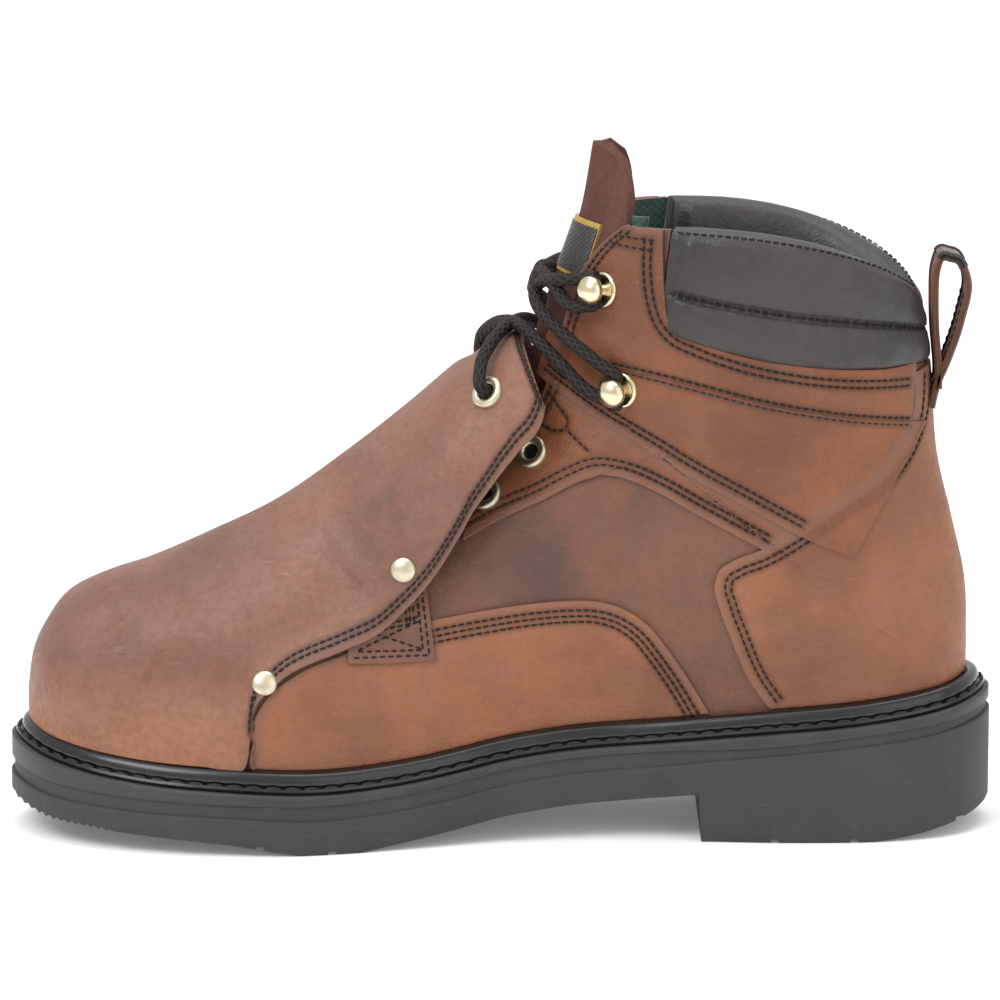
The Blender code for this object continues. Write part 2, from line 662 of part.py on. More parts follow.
def guard_point(row, q, side):
    """Point of the guard's outer face: q runs from its free edge to its ridge."""
    edge, up, reach, ridge = row
    start, top = section_ends(edge)
    if up is None:
        up = (skin_height(start[0]) - start[1]) / (top[1] - start[1])
    a = math.acos(1 - 2 * up) / math.pi
    offset = GUARD_GAP + GUARD_WALL
    low, high = (Vector((p[0], 0, p[1])) for p in section_ends(ridge))
    rise = (high - low).normalized()
    lift = rise * GUARD_LIFT * smooth(column(GUARD_RIDGE, 0), column(GUARD_RIDGE, 1), ridge)
    bend = q * q * (3 - 2 * q)
    close = on_last(edge, a + (1 - a) * q, side, offset) + lift * bend
    x, z = side_place(edge, a)
    turn = math.pi / 2 * q
    foot = Vector((x, 0, z))
    crown = high + rise * offset + lift
    free = foot + (crown - foot) * math.sin(turn)
    free.y = side * GUARD_WIDTH * reach * max(math.cos(turn), 0.0)**0.9
    t = clamp((edge - FLAP_START) / (FLAP_FREE - FLAP_START), 0.0, 1.0)
    return close.lerp(free, t * t * (3 - 2 * t))


def guard(finish, where):
    """Toe cover and metatarsal flap in one piece."""
    steps = [0, 0.11, 0.24, 0.38, 0.52, 0.67, 0.83, 1.0]
    places = [(MEDIAL, q) for q in steps] + [(LATERAL, q) for q in steps[-2::-1]]
    points = []
    for row in GUARD_SECTIONS:
        for side, q in places:
            point = guard_point(row, q, side)
            if q == 1.0:
                point.y = last(row[3], 1.0, MEDIAL).y
            points.append(point)
    faces = [face[::-1] for face in grid_faces(len(GUARD_SECTIONS), len(places))]
    thing = add_mesh("metatarsal_guard", points, faces, finish, where)
    solidify(thing, GUARD_WALL)
    return thing


def overlay(name, rows, side, offset, finish, where):
    """Leather overlay through rows of places in the side view, laid on the last."""
    points = []
    for row in rows:
        for x, z in row:
            r, a = section_at(x, z)
            points.append(on_last(r, a, side, offset + OVERLAY))
    faces = grid_faces(len(rows), len(rows[0]))
    if side == LATERAL:
        faces = [face[::-1] for face in faces]
    thing = add_mesh(name, points, faces, finish, where)
    solidify(thing, OVERLAY)
    return thing


def vamp_wing(label, side, finish, where):
    """Rear part of the vamp, which laps over the quarter."""
    rows = []
    for place, top in WING:
        x = HALF * place
        low, high = skin_height(x), SOLE_TOP + INSTEP_HEIGHT * top
        rows.append([(x, low + (high - low) * i / 4) for i in range(5)])
    overlay("vamp_wing_" + label, rows, side, OVERLAY_GAP, finish, where)


def guard_tab(label, side, finish, where):
    """Stitched tab that ties the guard to the vamp."""
    rows = []
    for place, foot, top in TAB:
        low, high = SOLE_TOP + INSTEP_HEIGHT * foot, SOLE_TOP + INSTEP_HEIGHT * top
        rows.append([(HALF * place, low + (high - low) * i / 3) for i in range(4)])
    overlay("guard_tab_" + label, rows, side, OVERLAY_GAP + OVERLAY + GAP, finish, where)


def seam_section(height):
    """Section that starts at a height of the seam up the back."""
    low, high = float(HEEL_SECTION), float(TOP_SECTION)
    for _ in range(30):
        middle = (low + high) / 2
        if section_ends(middle)[0][1] < height:
            low = middle
        else:
            high = middle
    return high


def counter(finish, where):
    """Heel counter that runs up the back in one piece."""
    count = 10
    seam_start = seam_section(skin_height(HALF))
    points = []
    for i, (place, height) in enumerate(COUNTER_FRONT):
        t = i / (len(COUNTER_FRONT) - 1)
        x0 = HALF * place
        z0 = skin_height(x0) if height is None else SOLE_TOP + INSTEP_HEIGHT * height
        seam = seam_start + (COLLAR_SECTION - 0.03 - seam_start) * t
        x1, z1 = section_ends(seam)[0]
        half = []
        for j in range(count):
            g = j / (count - 1)
            g = 1 - (1 - g)**1.7
            x, z = x0 + (x1 - x0) * g, z0 + (z1 - z0) * g
            if i == 0:
                z = skin_height(x)
            half.append(section_at(x, z) if j < count - 1 else (seam, 0.0))
        points += [on_last(r, a, MEDIAL, OVERLAY_GAP + OVERLAY) for r, a in half]
        points += [on_last(r, a, LATERAL, OVERLAY_GAP + OVERLAY) for r, a in half[-2::-1]]
    faces = [face[::-1] for face in grid_faces(len(COUNTER_FRONT), 2 * count - 1)]
    thing = add_mesh("counter", points, faces, finish, where)
    solidify(thing, OVERLAY)
    return thing


def facing(label, side, finish, where):
    """Eyestay facing along the throat."""
    points = []
    for r, rear in FACING:
        front = THROAT_EDGE - 0.004
        r = r if r < TOP_SECTION else TOP_SECTION - 0.02
        points += [on_last(r, rear + (front - rear) * j / 4, side, OVERLAY_GAP + OVERLAY) for j in range(5)]
    faces = [face[::-1] for face in grid_faces(len(FACING), 5)]
    if side == LATERAL:
        faces = [face[::-1] for face in faces]
    thing = add_mesh("eyestay_" + label, points, faces, finish, where)
    solidify(thing, OVERLAY)
    return thing


def collar(finish, where):
    """Padded collar round the back of the opening, with a seam between its two rolls."""
    stops = [0.0, 0.12, 0.24, 0.36, 0.48, 0.58, 0.68, 0.78, 0.88, 0.95, 1.0]
    places = [(MEDIAL, t) for t in reversed(stops)] + [(LATERAL, t) for t in stops[1:]]
    end = FACING_EDGE - 0.006
    points = []
    for side, t in places:
        taper = clamp((1 - t) / 0.06, 0.35, 1.0)
        back = 0.45 + 0.55 * clamp(t / 0.35, 0.0, 1.0)
        for up, out, inward in COLLAR_PROFILE:
            offset = COLLAR_BULGE * out * taper * back - COLLAR_PAD * inward * (0.6 + 0.4 * taper)
            points.append(on_last(COLLAR_SECTION + up, end * t, side, offset))
    count = len(COLLAR_PROFILE)
    faces = grid_faces(len(places), count, closed_columns=True)
    faces.append(tuple(range(count - 1, -1, -1)))
    faces.append(tuple((len(places) - 1) * count + k for k in range(count)))
    return add_mesh("collar", points, [face[::-1] for face in faces], finish, where)


def tongue(finish, where):
    """Tongue inside the throat, standing out through it and over the top."""
    sections = [8.5, 9.2, 10, 11, 12, 13, 14, 16, 18, 20, 21, 22, 22.6, 22.95]
    steps = [0.0, 0.16, 0.32, 0.48, 0.64, 0.82, 1.0]
    places = [(MEDIAL, t) for t in steps] + [(LATERAL, t) for t in steps[-2::-1]]
    points = []
    for r in sections:
        narrow = clamp((r - TOP_SECTION - 0.2) / 0.75, 0.0, 1.0)
        edge = 0.79 + 0.10 * narrow**2
        freed = clamp((r - THROAT_SECTION - 0.5) / 0.8, 0.0, 1.0)
        for side, t in places:
            a = edge + (1 - edge) * t
            crown = clamp((a - 0.90) / 0.10, 0.0, 1.0)
            crown = crown * crown * (3 - 2 * crown)
            inward = -(WALL + TONGUE_GAP)
            point = on_last(r, a, side, inward + (TONGUE + WALL) * 0.9 * crown * freed)
            points.append(point)
    faces = [face[::-1] for face in grid_faces(len(sections), len(places))]
    thing = add_mesh("tongue", points, faces, finish, where)
    solidify(thing, TONGUE)
    return thing


def pull_loop(finish, where):
    """Leather loop sewn to the seam up the back."""
    x0, z0 = section_ends(COLLAR_SECTION - 0.25)[0]
    x0 += OVERLAY_GAP + OVERLAY + GAP + LOOP_WALL / 2
    points = []
    for side in (MEDIAL, LATERAL):
        points += [(x0 + LOOP_REACH * reach, side * LOOP_WIDTH / 2, z0 + LOOP_HEIGHT * up) for reach, up in LOOP_PATH]
    thing = add_mesh("pull_loop", points, grid_faces(2, len(LOOP_PATH)), finish, where)
    wall = thing.modifiers.new("wall", "SOLIDIFY")
    wall.thickness = LOOP_WALL
    wall.offset = 0.0
    return thing


def turned(name, section, place, out, finish, where):
    """Round piece, turned from a section of (radius, height), standing on a surface."""
    mesh = bpy.data.meshes.new(name)
    points = [(radius, 0.0, height) for radius, height in section]
    mesh.from_pydata(points, [(i, i + 1) for i in range(len(points) - 1)], [])
    thing = bpy.data.objects.new(name, mesh)
    where.objects.link(thing)
    spin = thing.modifiers.new("turn", "SCREW")
    spin.steps = spin.render_steps = TURNED_STEPS
    spin.use_merge_vertices = True
    spin.merge_threshold = 1e-5
    spin.use_smooth_shade = False
    thing.matrix_world = Matrix.Translation(place) @ out.to_track_quat("Z", "Y").to_matrix().to_4x4()
    mesh.materials.append(finish)
    return thing


def struck(tree, place, height, side):
    """Point and outward direction where a place of the side view meets a surface."""
    x, z = HALF * place, SOLE_TOP + INSTEP_HEIGHT * height
    point, out, _, _ = tree.ray_cast(Vector((x, side * BALL_WIDTH, z)), Vector((0, -side, 0)))
    return point, out if out.y * side > 0 else -out


def rivet(name, point, out, finish, where):
    r = RIVET_RADIUS
    section = ((0.0, 0.42 * r), (0.45 * r, 0.38 * r), (0.8 * r, 0.24 * r), (r, 0.0), (0.0, 0.0))
    turned(name, section, point + out * SEAT, out, finish, where)


EYELET_RISE = 0.22


def eyelet(name, point, out, finish, where):
    r = EYELET_RADIUS
    bore = 0.48 * r
    section = ((bore, 0.0), (bore, 0.14 * r), (0.62 * r, EYELET_RISE * r), (0.86 * r, 0.18 * r), (r, 0.04 * r),
               (r, 0.0), (bore, 0.0))
    turned(name, section, point + out * SEAT, out, finish, where)


# Neck of a hook, in shares of HOOK_HEIGHT
HOOK_NECK_FOOT = 0.09
HOOK_NECK_TOP = 0.66


def hook(name, point, out, finish, where):
    h, ball, base, neck = HOOK_HEIGHT, HOOK_BALL, HOOK_BASE, HOOK_NECK
    section = ((0.0, h), (0.6 * ball, 0.96 * h), (0.95 * ball, 0.87 * h), (ball, 0.79 * h),
               (0.8 * ball, 0.69 * h), (neck, HOOK_NECK_TOP * h), (neck, HOOK_NECK_FOOT * h),
               (0.85 * base, HOOK_NECK_FOOT * h), (base, 0.0), (0.0, 0.0))
    turned(name, section, point + out * SEAT, out, finish, where)


def outer_face(thing):
    """Tree of an object's faces before its modifiers."""
    return BVHTree.FromPolygons([v.co for v in thing.data.vertices], [p.vertices for p in thing.data.polygons])


def place_hardware(shell, finish, where):
    """Rivets and eyelets of the guard, then the eyelets and hooks of the eyestays."""
    for label, side in SIDES:
        for i, (place, height) in enumerate(RIVETS):
            rivet(f"rivet_{label}_{i + 1}", *struck(shell, place, height, side), finish, where)
        eyelet(f"guard_eyelet_{label}", *struck(shell, *GUARD_EYELET, side), finish, where)
        for i, (place, height) in enumerate(THROAT_EYELETS):
            r, a = section_at(HALF * place, SOLE_TOP + INSTEP_HEIGHT * height)
            point = on_last(r, a, side, OVERLAY_GAP + OVERLAY)
            eyelet(f"eyelet_{label}_{i + 1}", point, last_normal(r, a, side), finish, where)
        for i, (place, height) in enumerate(HOOKS):
            r, a = section_at(HALF * place, SOLE_TOP + INSTEP_HEIGHT * height)
            point = on_last(r, a, side, OVERLAY_GAP + OVERLAY)
            hook(f"hook_{label}_{i + 1}", point, last_normal(r, a, side), finish, where)


def round_hook(hook_index, side):
    """Points of the lace behind a hook's neck, from below to above."""
    place, height = HOOKS[hook_index]
    r, a = section_at(HALF * place, SOLE_TOP + INSTEP_HEIGHT * height)
    out = last_normal(r, a, side)
    centre = on_last(r, a, side, OVERLAY_GAP + OVERLAY)
    centre += out * (SEAT + HOOK_HEIGHT * (HOOK_NECK_FOOT + HOOK_NECK_TOP) / 2)
    up = Vector((0.0, 0.0, 1.0))
    rear = (out.cross(up) * -side).normalized()
    radius = HOOK_NECK + LACE / 2 + LACE_GAP
    points = []
    for i in range(5):
        angle = math.pi * (i / 4 - 0.5)
        points.append(centre + (rear * math.cos(angle) + up * math.sin(angle)) * radius)
    return points


def smooth_route(points):
    """Close points on a smooth curve through the route's own points."""
    points = [Vector(p) for p in points]
    lengths = [0.0]
    for a, b in zip(points, points[1:]):
        lengths.append(lengths[-1] + (b - a).length)
    at = [0.0]
    for low, high in zip(lengths, lengths[1:]):
        count = math.ceil((high - low) / LACE_SPACING)
        at += [low + (high - low) * (i + 1) / count for i in range(count)]
    return [Vector([smooth(lengths, [p[axis] for p in points], s) for axis in range(3)]) for s in at]


def cord(name, route, where):
    """Round cord through a route, as a closed mesh."""
    curve = bpy.data.curves.new(name, "CURVE")
    curve.dimensions = "3D"
    curve.bevel_depth = LACE / 2
    curve.bevel_resolution = 2
    curve.use_fill_caps = True
    spline = curve.splines.new("POLY")
    spline.points.add(len(route) - 1)
    for point, place in zip(spline.points, route):
        point.co = (*place, 1.0)
    tube = bpy.data.objects.new(name + "_curve", curve)
    where.objects.link(tube)
    seen = tube.evaluated_get(bpy.context.evaluated_depsgraph_get())
    mesh = bpy.data.meshes.new_from_object(seen)
    bm = bmesh.new()
    bm.from_mesh(mesh)
    bmesh.ops.remove_doubles(bm, verts=bm.verts, dist=1e-6)
    bmesh.ops.recalc_face_normals(bm, faces=bm.faces)
    bm.to_mesh(mesh)
    bm.free()
    bpy.data.objects.remove(tube, do_unlink=True)
    thing = bpy.data.objects.new(name, mesh)
    where.objects.link(thing)
    return thing


def lace(start, out, finish, where, cutters):
    """Two strands that cross over the guard and over the tongue, joined with the top run."""
    medial = [start + out * (SEAT + EYELET_RADIUS * EYELET_RISE + LACE / 2)]
    medial += [Vector(p) for p in LACE_OVER_GUARD] + round_hook(0, LATERAL)
    medial += [Vector(p) for p in LACE_OVER_TONGUE] + round_hook(1, MEDIAL)
    lateral = [Vector((p.x, -p.y, p.z + LACE_STEP)) for p in medial]
    top = [Vector(p) for p in LACE_TOP]
    top += [Vector((p.x, -p.y, p.z)) for p in top[-2::-1]]
    thing = cord("lace", smooth_route(medial), where)
    thing.data.materials.append(finish)
    for name, route in (("lace_lateral", lateral), ("lace_top", top)):
        other = cord(name, smooth_route(route), cutters)
        other.hide_render = True
        other.display_type = "WIRE"
        join = thing.modifiers.new(name, "BOOLEAN")
        join.operation = "UNION"
        join.solver = "EXACT"
        join.object = other


def build():
    clear_scene()
    boot = collection("metatarsal_guard_boot")
    cutters = collection("cutters")
    rubber = material("tread_rubber", (0.045, 0.045, 0.048), 0.75)
    band = material("midsole_rubber", (0.10, 0.10, 0.105), 0.65)
    gloss = material("welt_rubber", (0.012, 0.012, 0.014), 0.3)
    brown = material("brown_leather", (0.30, 0.115, 0.055), 0.5)
    dull = material("guard_leather", (0.25, 0.12, 0.07), 0.55)
    dark = material("collar_leather", (0.075, 0.065, 0.065), 0.45)
    suede = material("tongue_leather", (0.16, 0.05, 0.035), 0.75)
    board = material("insole_board", (0.30, 0.22, 0.15), 0.8)
    brass = material("pale_brass", (0.75, 0.66, 0.45), 0.28, 1.0)
    cordage = material("lace_cord", (0.030, 0.022, 0.020), 0.85)
    outsole(rubber, boot, cutters)
    midsole(band, boot)
    welt(gloss, boot)
    insole(board, boot)
    upper(brown, boot)
    counter(brown, boot)
    for label, side in SIDES:
        vamp_wing(label, side, brown, boot)
        guard_tab(label, side, brown, boot)
        facing(label, side, brown, boot)
    collar(dark, boot)
    tongue(suede, boot)
    pull_loop(brown, boot)
    shell = outer_face(guard(dull, boot))
    place_hardware(shell, brass, boot)
    lace(*struck(shell, *GUARD_EYELET, MEDIAL), cordage, boot, cutters)


build()
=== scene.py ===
"""Looks of the metatarsal guard boot: fine leather, rubber, stitching, hardware and lace over the
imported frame. Metres, +Z up, toe to -X, the medial side faces the camera at -Y.

Leather is laid on the last, the fan of sections that the solids use: r counts sections from the
toe to the collar, a runs from the feather line (0) to the ridge (1).
"""
import math

import bmesh
import bpy
import numpy as np
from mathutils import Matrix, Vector
from mathutils.bvhtree import BVHTree
from mathutils.kdtree import KDTree


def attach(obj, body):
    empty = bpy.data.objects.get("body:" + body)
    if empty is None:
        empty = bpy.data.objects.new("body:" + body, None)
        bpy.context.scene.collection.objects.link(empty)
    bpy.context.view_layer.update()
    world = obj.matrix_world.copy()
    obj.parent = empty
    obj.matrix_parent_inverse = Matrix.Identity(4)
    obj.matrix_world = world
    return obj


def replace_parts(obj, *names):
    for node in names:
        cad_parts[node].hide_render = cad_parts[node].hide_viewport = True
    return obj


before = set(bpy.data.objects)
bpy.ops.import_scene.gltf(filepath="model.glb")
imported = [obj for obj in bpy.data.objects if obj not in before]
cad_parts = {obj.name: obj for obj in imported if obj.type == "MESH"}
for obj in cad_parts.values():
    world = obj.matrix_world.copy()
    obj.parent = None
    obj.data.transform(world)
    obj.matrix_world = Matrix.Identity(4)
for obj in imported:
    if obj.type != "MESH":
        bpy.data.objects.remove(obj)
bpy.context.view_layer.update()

# Sizes of the sole
LENGTH = 0.318
BALL_WIDTH = 0.111
TREAD = 0.0112
BAND = 0.0048
MIDSOLE = 0.0036
HEEL_RISE = 0.0258
TOE_SPRING = 0.0114
HEEL_BEVEL = 0.008
TREAD_CHAMFER = 0.0012
BAND_RECESS = 0.0011
EDGE_CHAMFER = 0.0008
GROOVE_WIDTH = 0.0026
GROOVE_DEPTH = 0.0013
SLOT_WIDTH = 0.0038
SLOT_DEPTH = 0.0026
SLOT_END = 0.014
TOOTH_PITCH = 0.0025
TOOTH_DEPTH = 0.0011
TOOTH_END = -0.122

# Sizes of the leather
FEATHER = 0.0092
WELT_LEDGE = 0.0016
WELT_EDGE = 0.0016
BEAD_HEIGHT = 0.0063
BEAD_WIDTH = 0.0048
BEAD_FIT = 0.0007
SKIN_GAP = 0.0004
INSOLE = 0.004
WALL = 0.0022
TOE_HEIGHT = 0.0592
INSTEP_HEIGHT = 0.107
SHAFT_HEIGHT = 0.1794
COLLAR_WIDTH = 0.080
GAP = 0.0003
OVERLAY = 0.0013
GUARD_WALL = 0.0022
GUARD_GAP = 0.0012
GUARD_LIFT = 0.028
GUARD_WIDTH = 0.080
TONGUE = 0.004
TONGUE_GAP = 0.0012
COLLAR_PAD = 0.0115
COLLAR_BULGE = 0.0036
LOOP_WIDTH = 0.016
LOOP_WALL = 0.0024
LOOP_HEIGHT = 0.041
LOOP_REACH = 0.010

# Sizes of the hardware, the lace and the thread
RIVET_RADIUS = 0.0041
EYELET_RADIUS = 0.0055
HOOK_BASE = 0.0058
HOOK_NECK = 0.0019
HOOK_BALL = 0.0046
HOOK_HEIGHT = 0.0092
LACE = 0.0042
STITCH = 0.0020
STITCH_PITCH = 0.0025
THREAD = 0.00068
WELT_PITCH = 0.0062
WELT_STITCH = 0.0050
WELT_STRAND = 0.00125
ROW_GAP = 0.0021
PRESS = 0.00045
PRESS_SPREAD = 0.0009
# Width of the painted shade along the seam grooves
SEAM_SHADE_SPREAD = 0.0011
LIP_SPREAD = 0.0024
CUT_EDGE = 0.0004
FACING_LIFT = 1.15
HARDWARE_LIFT = 1.3
INNER_WALL = WALL + 0.0025

SOLE_TOP = TREAD + BAND + MIDSOLE
HALF = LENGTH / 2 - FEATHER
MEDIAL, LATERAL = -1, 1
SIDES = (("medial", MEDIAL), ("lateral", LATERAL))
BOTH = (MEDIAL, LATERAL)

# Outline of the sole: share of LENGTH from the heel, reaches in shares of BALL_WIDTH
OUTLINE = (
    # share, medial, lateral
    (0.00, 0.000, 0.000), (0.05, 0.261, 0.257), (0.10, 0.311, 0.315), (0.20, 0.333, 0.346),
    (0.30, 0.315, 0.356), (0.40, 0.297, 0.374), (0.50, 0.333, 0.428), (0.60, 0.414, 0.482),
    (0.70, 0.484, 0.505), (0.80, 0.482, 0.468), (0.90, 0.405, 0.365), (0.95, 0.315, 0.261),
    (1.00, 0.045, -0.045),
)
# Side of the sole: shares of HEEL_RISE, TOE_SPRING, MIDSOLE, BAND and TREAD
PROFILE = (
    # share, heel, toe, midsole, band, tread
    (0.000, 1.000, 0.00, 1.25, 0.62, 1.000), (0.056, 0.860, 0.00, 1.15, 0.65, 1.000),
    (0.125, 0.737, 0.00, 1.00, 0.69, 1.000), (0.238, 0.605, 0.00, 1.20, 0.60, 0.950),
    (0.349, 0.470, 0.00, 0.75, 1.02, 0.910), (0.445, 0.368, 0.00, 0.80, 1.04, 0.910),
    (0.497, 0.279, 0.00, 0.85, 1.04, 0.910), (0.548, 0.155, 0.00, 0.90, 1.04, 0.915),
    (0.599, 0.060, 0.00, 0.95, 1.02, 0.950), (0.660, 0.000, 0.00, 1.00, 1.00, 1.060),
    (0.777, 0.000, 0.10, 1.17, 0.86, 0.770), (0.868, 0.000, 0.27, 1.38, 0.92, 0.665),
    (0.914, 0.000, 0.42, 1.64, 0.93, 0.670), (0.961, 0.000, 0.66, 2.05, 0.95, 0.685),
    (1.000, 0.000, 1.00, 2.30, 0.92, 0.670),
)
BREAST = 0.2985
BREAST_DRAFT = 0.002
BEVEL_START = 0.13
BEVEL_POWER = 1.6
GROOVES = (0.034, 0.143, 0.223, 0.669, 0.741)
SLOTS = (0.085, 0.114, 0.172, 0.254, 0.580, 0.611, 0.640, 0.698, 0.720, 0.770, 0.800, 0.830,
         0.860)

FOOT_SECTIONS = (
    # foot, ridge, height, centre, w1, w2, w3, w4, w5
    (-1.000, -1.000, 0.407 * TOE_HEIGHT, -0.045, 0.000, 0.000, 0.000, 0.000, 0.000),
    (-0.988, -0.988, 0.623 * TOE_HEIGHT, -0.045, 0.113, 0.122, 0.122, 0.099, 0.059),
    (-0.955, -0.960, 0.773 * TOE_HEIGHT, -0.045, 0.212, 0.221, 0.221, 0.185, 0.108),
    (-0.895, -0.918, 0.907 * TOE_HEIGHT, -0.042, 0.275, 0.284, 0.284, 0.239, 0.140),
    (-0.814, -0.841, 1.000 * TOE_HEIGHT, -0.036, 0.333, 0.342, 0.333, 0.279, 0.162),
    (-0.720, -0.741, 1.083 * TOE_HEIGHT, -0.028, 0.383, 0.387, 0.369, 0.306, 0.171),
    (-0.600, -0.614, 0.667 * INSTEP_HEIGHT, -0.018, 0.422, 0.423, 0.383, 0.297, 0.162),
    (-0.467, -0.481, 0.714 * INSTEP_HEIGHT, -0.009, 0.437, 0.432, 0.378, 0.279, 0.144),
    (-0.320, -0.334, 0.753 * INSTEP_HEIGHT, -0.003, 0.419, 0.414, 0.360, 0.266, 0.135),
    (-0.167, -0.200, 0.819 * INSTEP_HEIGHT, 0.000, 0.369, 0.374, 0.333, 0.257, 0.131),
    (0.000, -0.080, 0.911 * INSTEP_HEIGHT, 0.000, 0.306, 0.324, 0.311, 0.257, 0.131),
    (0.187, -0.007, 0.995 * INSTEP_HEIGHT, 0.000, 0.266, 0.288, 0.297, 0.261, 0.135),
    (0.400, 0.033, 0.640 * SHAFT_HEIGHT, 0.000, 0.261, 0.284, 0.297, 0.266, 0.140),
    (0.634, 0.057, 0.677 * SHAFT_HEIGHT, 0.000, 0.266, 0.288, 0.311, 0.279, 0.144),
    (0.834, 0.070, 0.716 * SHAFT_HEIGHT, 0.000, 0.257, 0.293, 0.320, 0.288, 0.149),
    (0.955, 0.080, 0.749 * SHAFT_HEIGHT, 0.000, 0.225, 0.293, 0.324, 0.297, 0.153),
)
SHAFT_SECTIONS = (
    # back, rise, ridge, height, bow, sag, w1, w2, w3, w4, w5
    (1.000, 0.144, 0.087, 0.771, 0.000, 0.000, 0.244, 0.406, 0.450, 0.425, 0.225),
    (1.001, 0.236, 0.093, 0.788, 0.000, 0.000, 0.250, 0.406, 0.456, 0.431, 0.231),
    (0.995, 0.337, 0.100, 0.808, 0.000, 0.000, 0.231, 0.394, 0.463, 0.438, 0.238),
    (0.965, 0.448, 0.107, 0.827, 0.000, -0.005, 0.213, 0.381, 0.463, 0.438, 0.244),
    (0.931, 0.571, 0.117, 0.849, 0.000, -0.015, 0.213, 0.388, 0.463, 0.438, 0.250),
    (0.915, 0.735, 0.134, 0.888, 0.000, -0.042, 0.231, 0.413, 0.475, 0.438, 0.250),
    (0.888, 0.849, 0.180, 1.000, 0.056, 0.020, 0.250, 0.433, 0.494, 0.444, 0.263),
    (0.870, 0.960, 0.215, 1.130, 0.056, 0.020, 0.256, 0.443, 0.500, 0.450, 0.269),
)
HEEL_SECTION = len(FOOT_SECTIONS)
COLLAR_SECTION = HEEL_SECTION + 5
TOP_SECTION = HEEL_SECTION + 6
THROAT_SECTION = 9.2
THROAT_EDGE = 0.875
THROAT_START = 10.6
FACING_EDGE = 0.665
BLEND_HEIGHT = 0.026

# Guard: section of the free edge, share of the way up it (None on the bead), half width of the
# flap, section under the ridge
GUARD_SECTIONS = (
    # edge, up, reach, ridge
    (0.00, None, 0.60, 0.00), (0.50, None, 0.60, 0.50), (1.00, None, 0.60, 1.00),
    (1.50, None, 0.60, 1.50), (2.00, None, 0.60, 2.00), (3.00, None, 0.60, 3.00),
    (4.00, None, 0.60, 4.00), (5.00, None, 0.60, 5.00), (5.80, None, 0.60, 5.80),
    (6.43, None, 0.60, 6.43), (6.60, 0.335, 0.59, 6.60), (6.87, 0.420, 0.58, 6.87),
    (7.27, 0.490, 0.57, 7.27), (8.00, 0.550, 0.56, 8.00), (8.45, 0.585, 0.54, 8.45),
    (8.85, 0.645, 0.51, 8.85), (9.30, 0.724, 0.49, 9.40), (9.80, 0.830, 0.47, 10.0),
    (10.2, 0.900, 0.46, 10.6), (10.9, 0.945, 0.45, 11.6), (11.6, 0.955, 0.45, 12.6),
    (12.5, 0.950, 0.45, 13.6), (13.3, 0.955, 0.43, 14.7), (13.7, 0.960, 0.40, 15.4),
)
GUARD_RIDGE = ((0.0, 0.00), (4.0, 0.00), (5.0, 0.00), (6.0, 0.04), (7.0, 0.21), (8.0, 0.60), (9.0, 0.88),
               (10.0, 1.01), (11.0, 0.86), (12.0, 0.70), (13.0, 0.575), (14.0, 0.42), (15.0, 0.235),
               (15.5, 0.125))
FLAP_START = 7.27
FLAP_FREE = 9.30

# Panels and seams in the side view, in millimetres: place along the foot, height
WING_TOP = ((-79, 28), (-78, 44), (-73, 51), (-64, 57), (-48, 63), (-38, 68), (-30, 70.5), (-21.5, 72.4),
            (-5.6, 75.3), (10.3, 77.6), (21.3, 78.5), (31.1, 78.4), (39.6, 76), (47, 70.9), (53.2, 63.2),
            (59.4, 53.8), (66.9, 40.8))
COUNTER_EDGE = ((86.5, 41.8), (80.3, 51.3), (73.9, 66), (70.1, 76.4), (68.2, 84.1), (70, 89.8), (74.8, 93),
                (82.7, 96.2), (97.2, 104.7), (107.6, 111.6), (120.1, 119), (126.4, 126.1), (130.2, 135.3),
                (131.5, 150))
STRAP_EDGE = ((-11.7, 97), (0.5, 104), (13.9, 110.5), (23.7, 116), (31, 119.2), (38.2, 118.9), (49.1, 115.1),
              (61.3, 108.5), (73.5, 101.8), (84, 96))
STRAP_TOP = ((-8, 128), (4, 136), (14, 142), (27, 141), (40, 134.5), (61, 122.5), (96, 103))
TOP_EDGE = ((13, 148), (19, 144), (26.1, 139.4), (38.2, 132.8), (49.1, 126.9), (61.2, 119.7), (73.4, 113),
            (85.6, 106.1), (95, 100.8))
BAND_SEAM = ((34.9, 154.7), (49.6, 152.2), (63.5, 148.8), (82.2, 143.9), (100.9, 140), (130, 134.5))
FACING_SEAM = ((48.1, 196.5), (46.9, 183.8), (47.5, 174.6), (49.5, 168.4), (52.3, 164.8), (60.7, 160.6),
               (72.7, 156.4), (86.7, 152.9), (100.8, 150.4), (115.1, 148.6), (130, 147.2))
FACING_REAR = ((53.1, 199), (52.4, 188.8), (51.9, 178.6), (52.3, 171.1), (55, 166))
COLLAR_FOOT = ((50.5, 178), (52.3, 171.1), (56, 166), (64, 162.8), (78, 158.8), (94, 156), (110, 154),
               (126, 153), (131.5, 153.4))
THROAT_SEAM = ((15.8, 143.4), (18.9, 139.1), (21.9, 134.8), (21.3, 132.4), (17.6, 131.4), (13, 133))
SHORT_SEAM = ((21.9, 131.9), (25, 129), (28.5, 126.1))
SEAMS = (
    # line, distances of its rows of stitches to the left of it, lift over the last
    (WING_TOP[6:], (-0.0031, -0.0050, -0.0069), 1.0), (COUNTER_EDGE, (-0.0034, -0.0054), 1.0),
    (STRAP_EDGE, (0.0030, 0.0050), 1.0), (TOP_EDGE, (0.0030, 0.0050), 1.5),
    (BAND_SEAM, (-0.0011, 0.0011), 1.3), (FACING_SEAM, (-0.0010, 0.0012), 1.3),
    (THROAT_SEAM, (0.0,), 1.0), (SHORT_SEAM, (0.0,), 1.0),
)
EDGES = (WING_TOP, COUNTER_EDGE, STRAP_EDGE, TOP_EDGE)


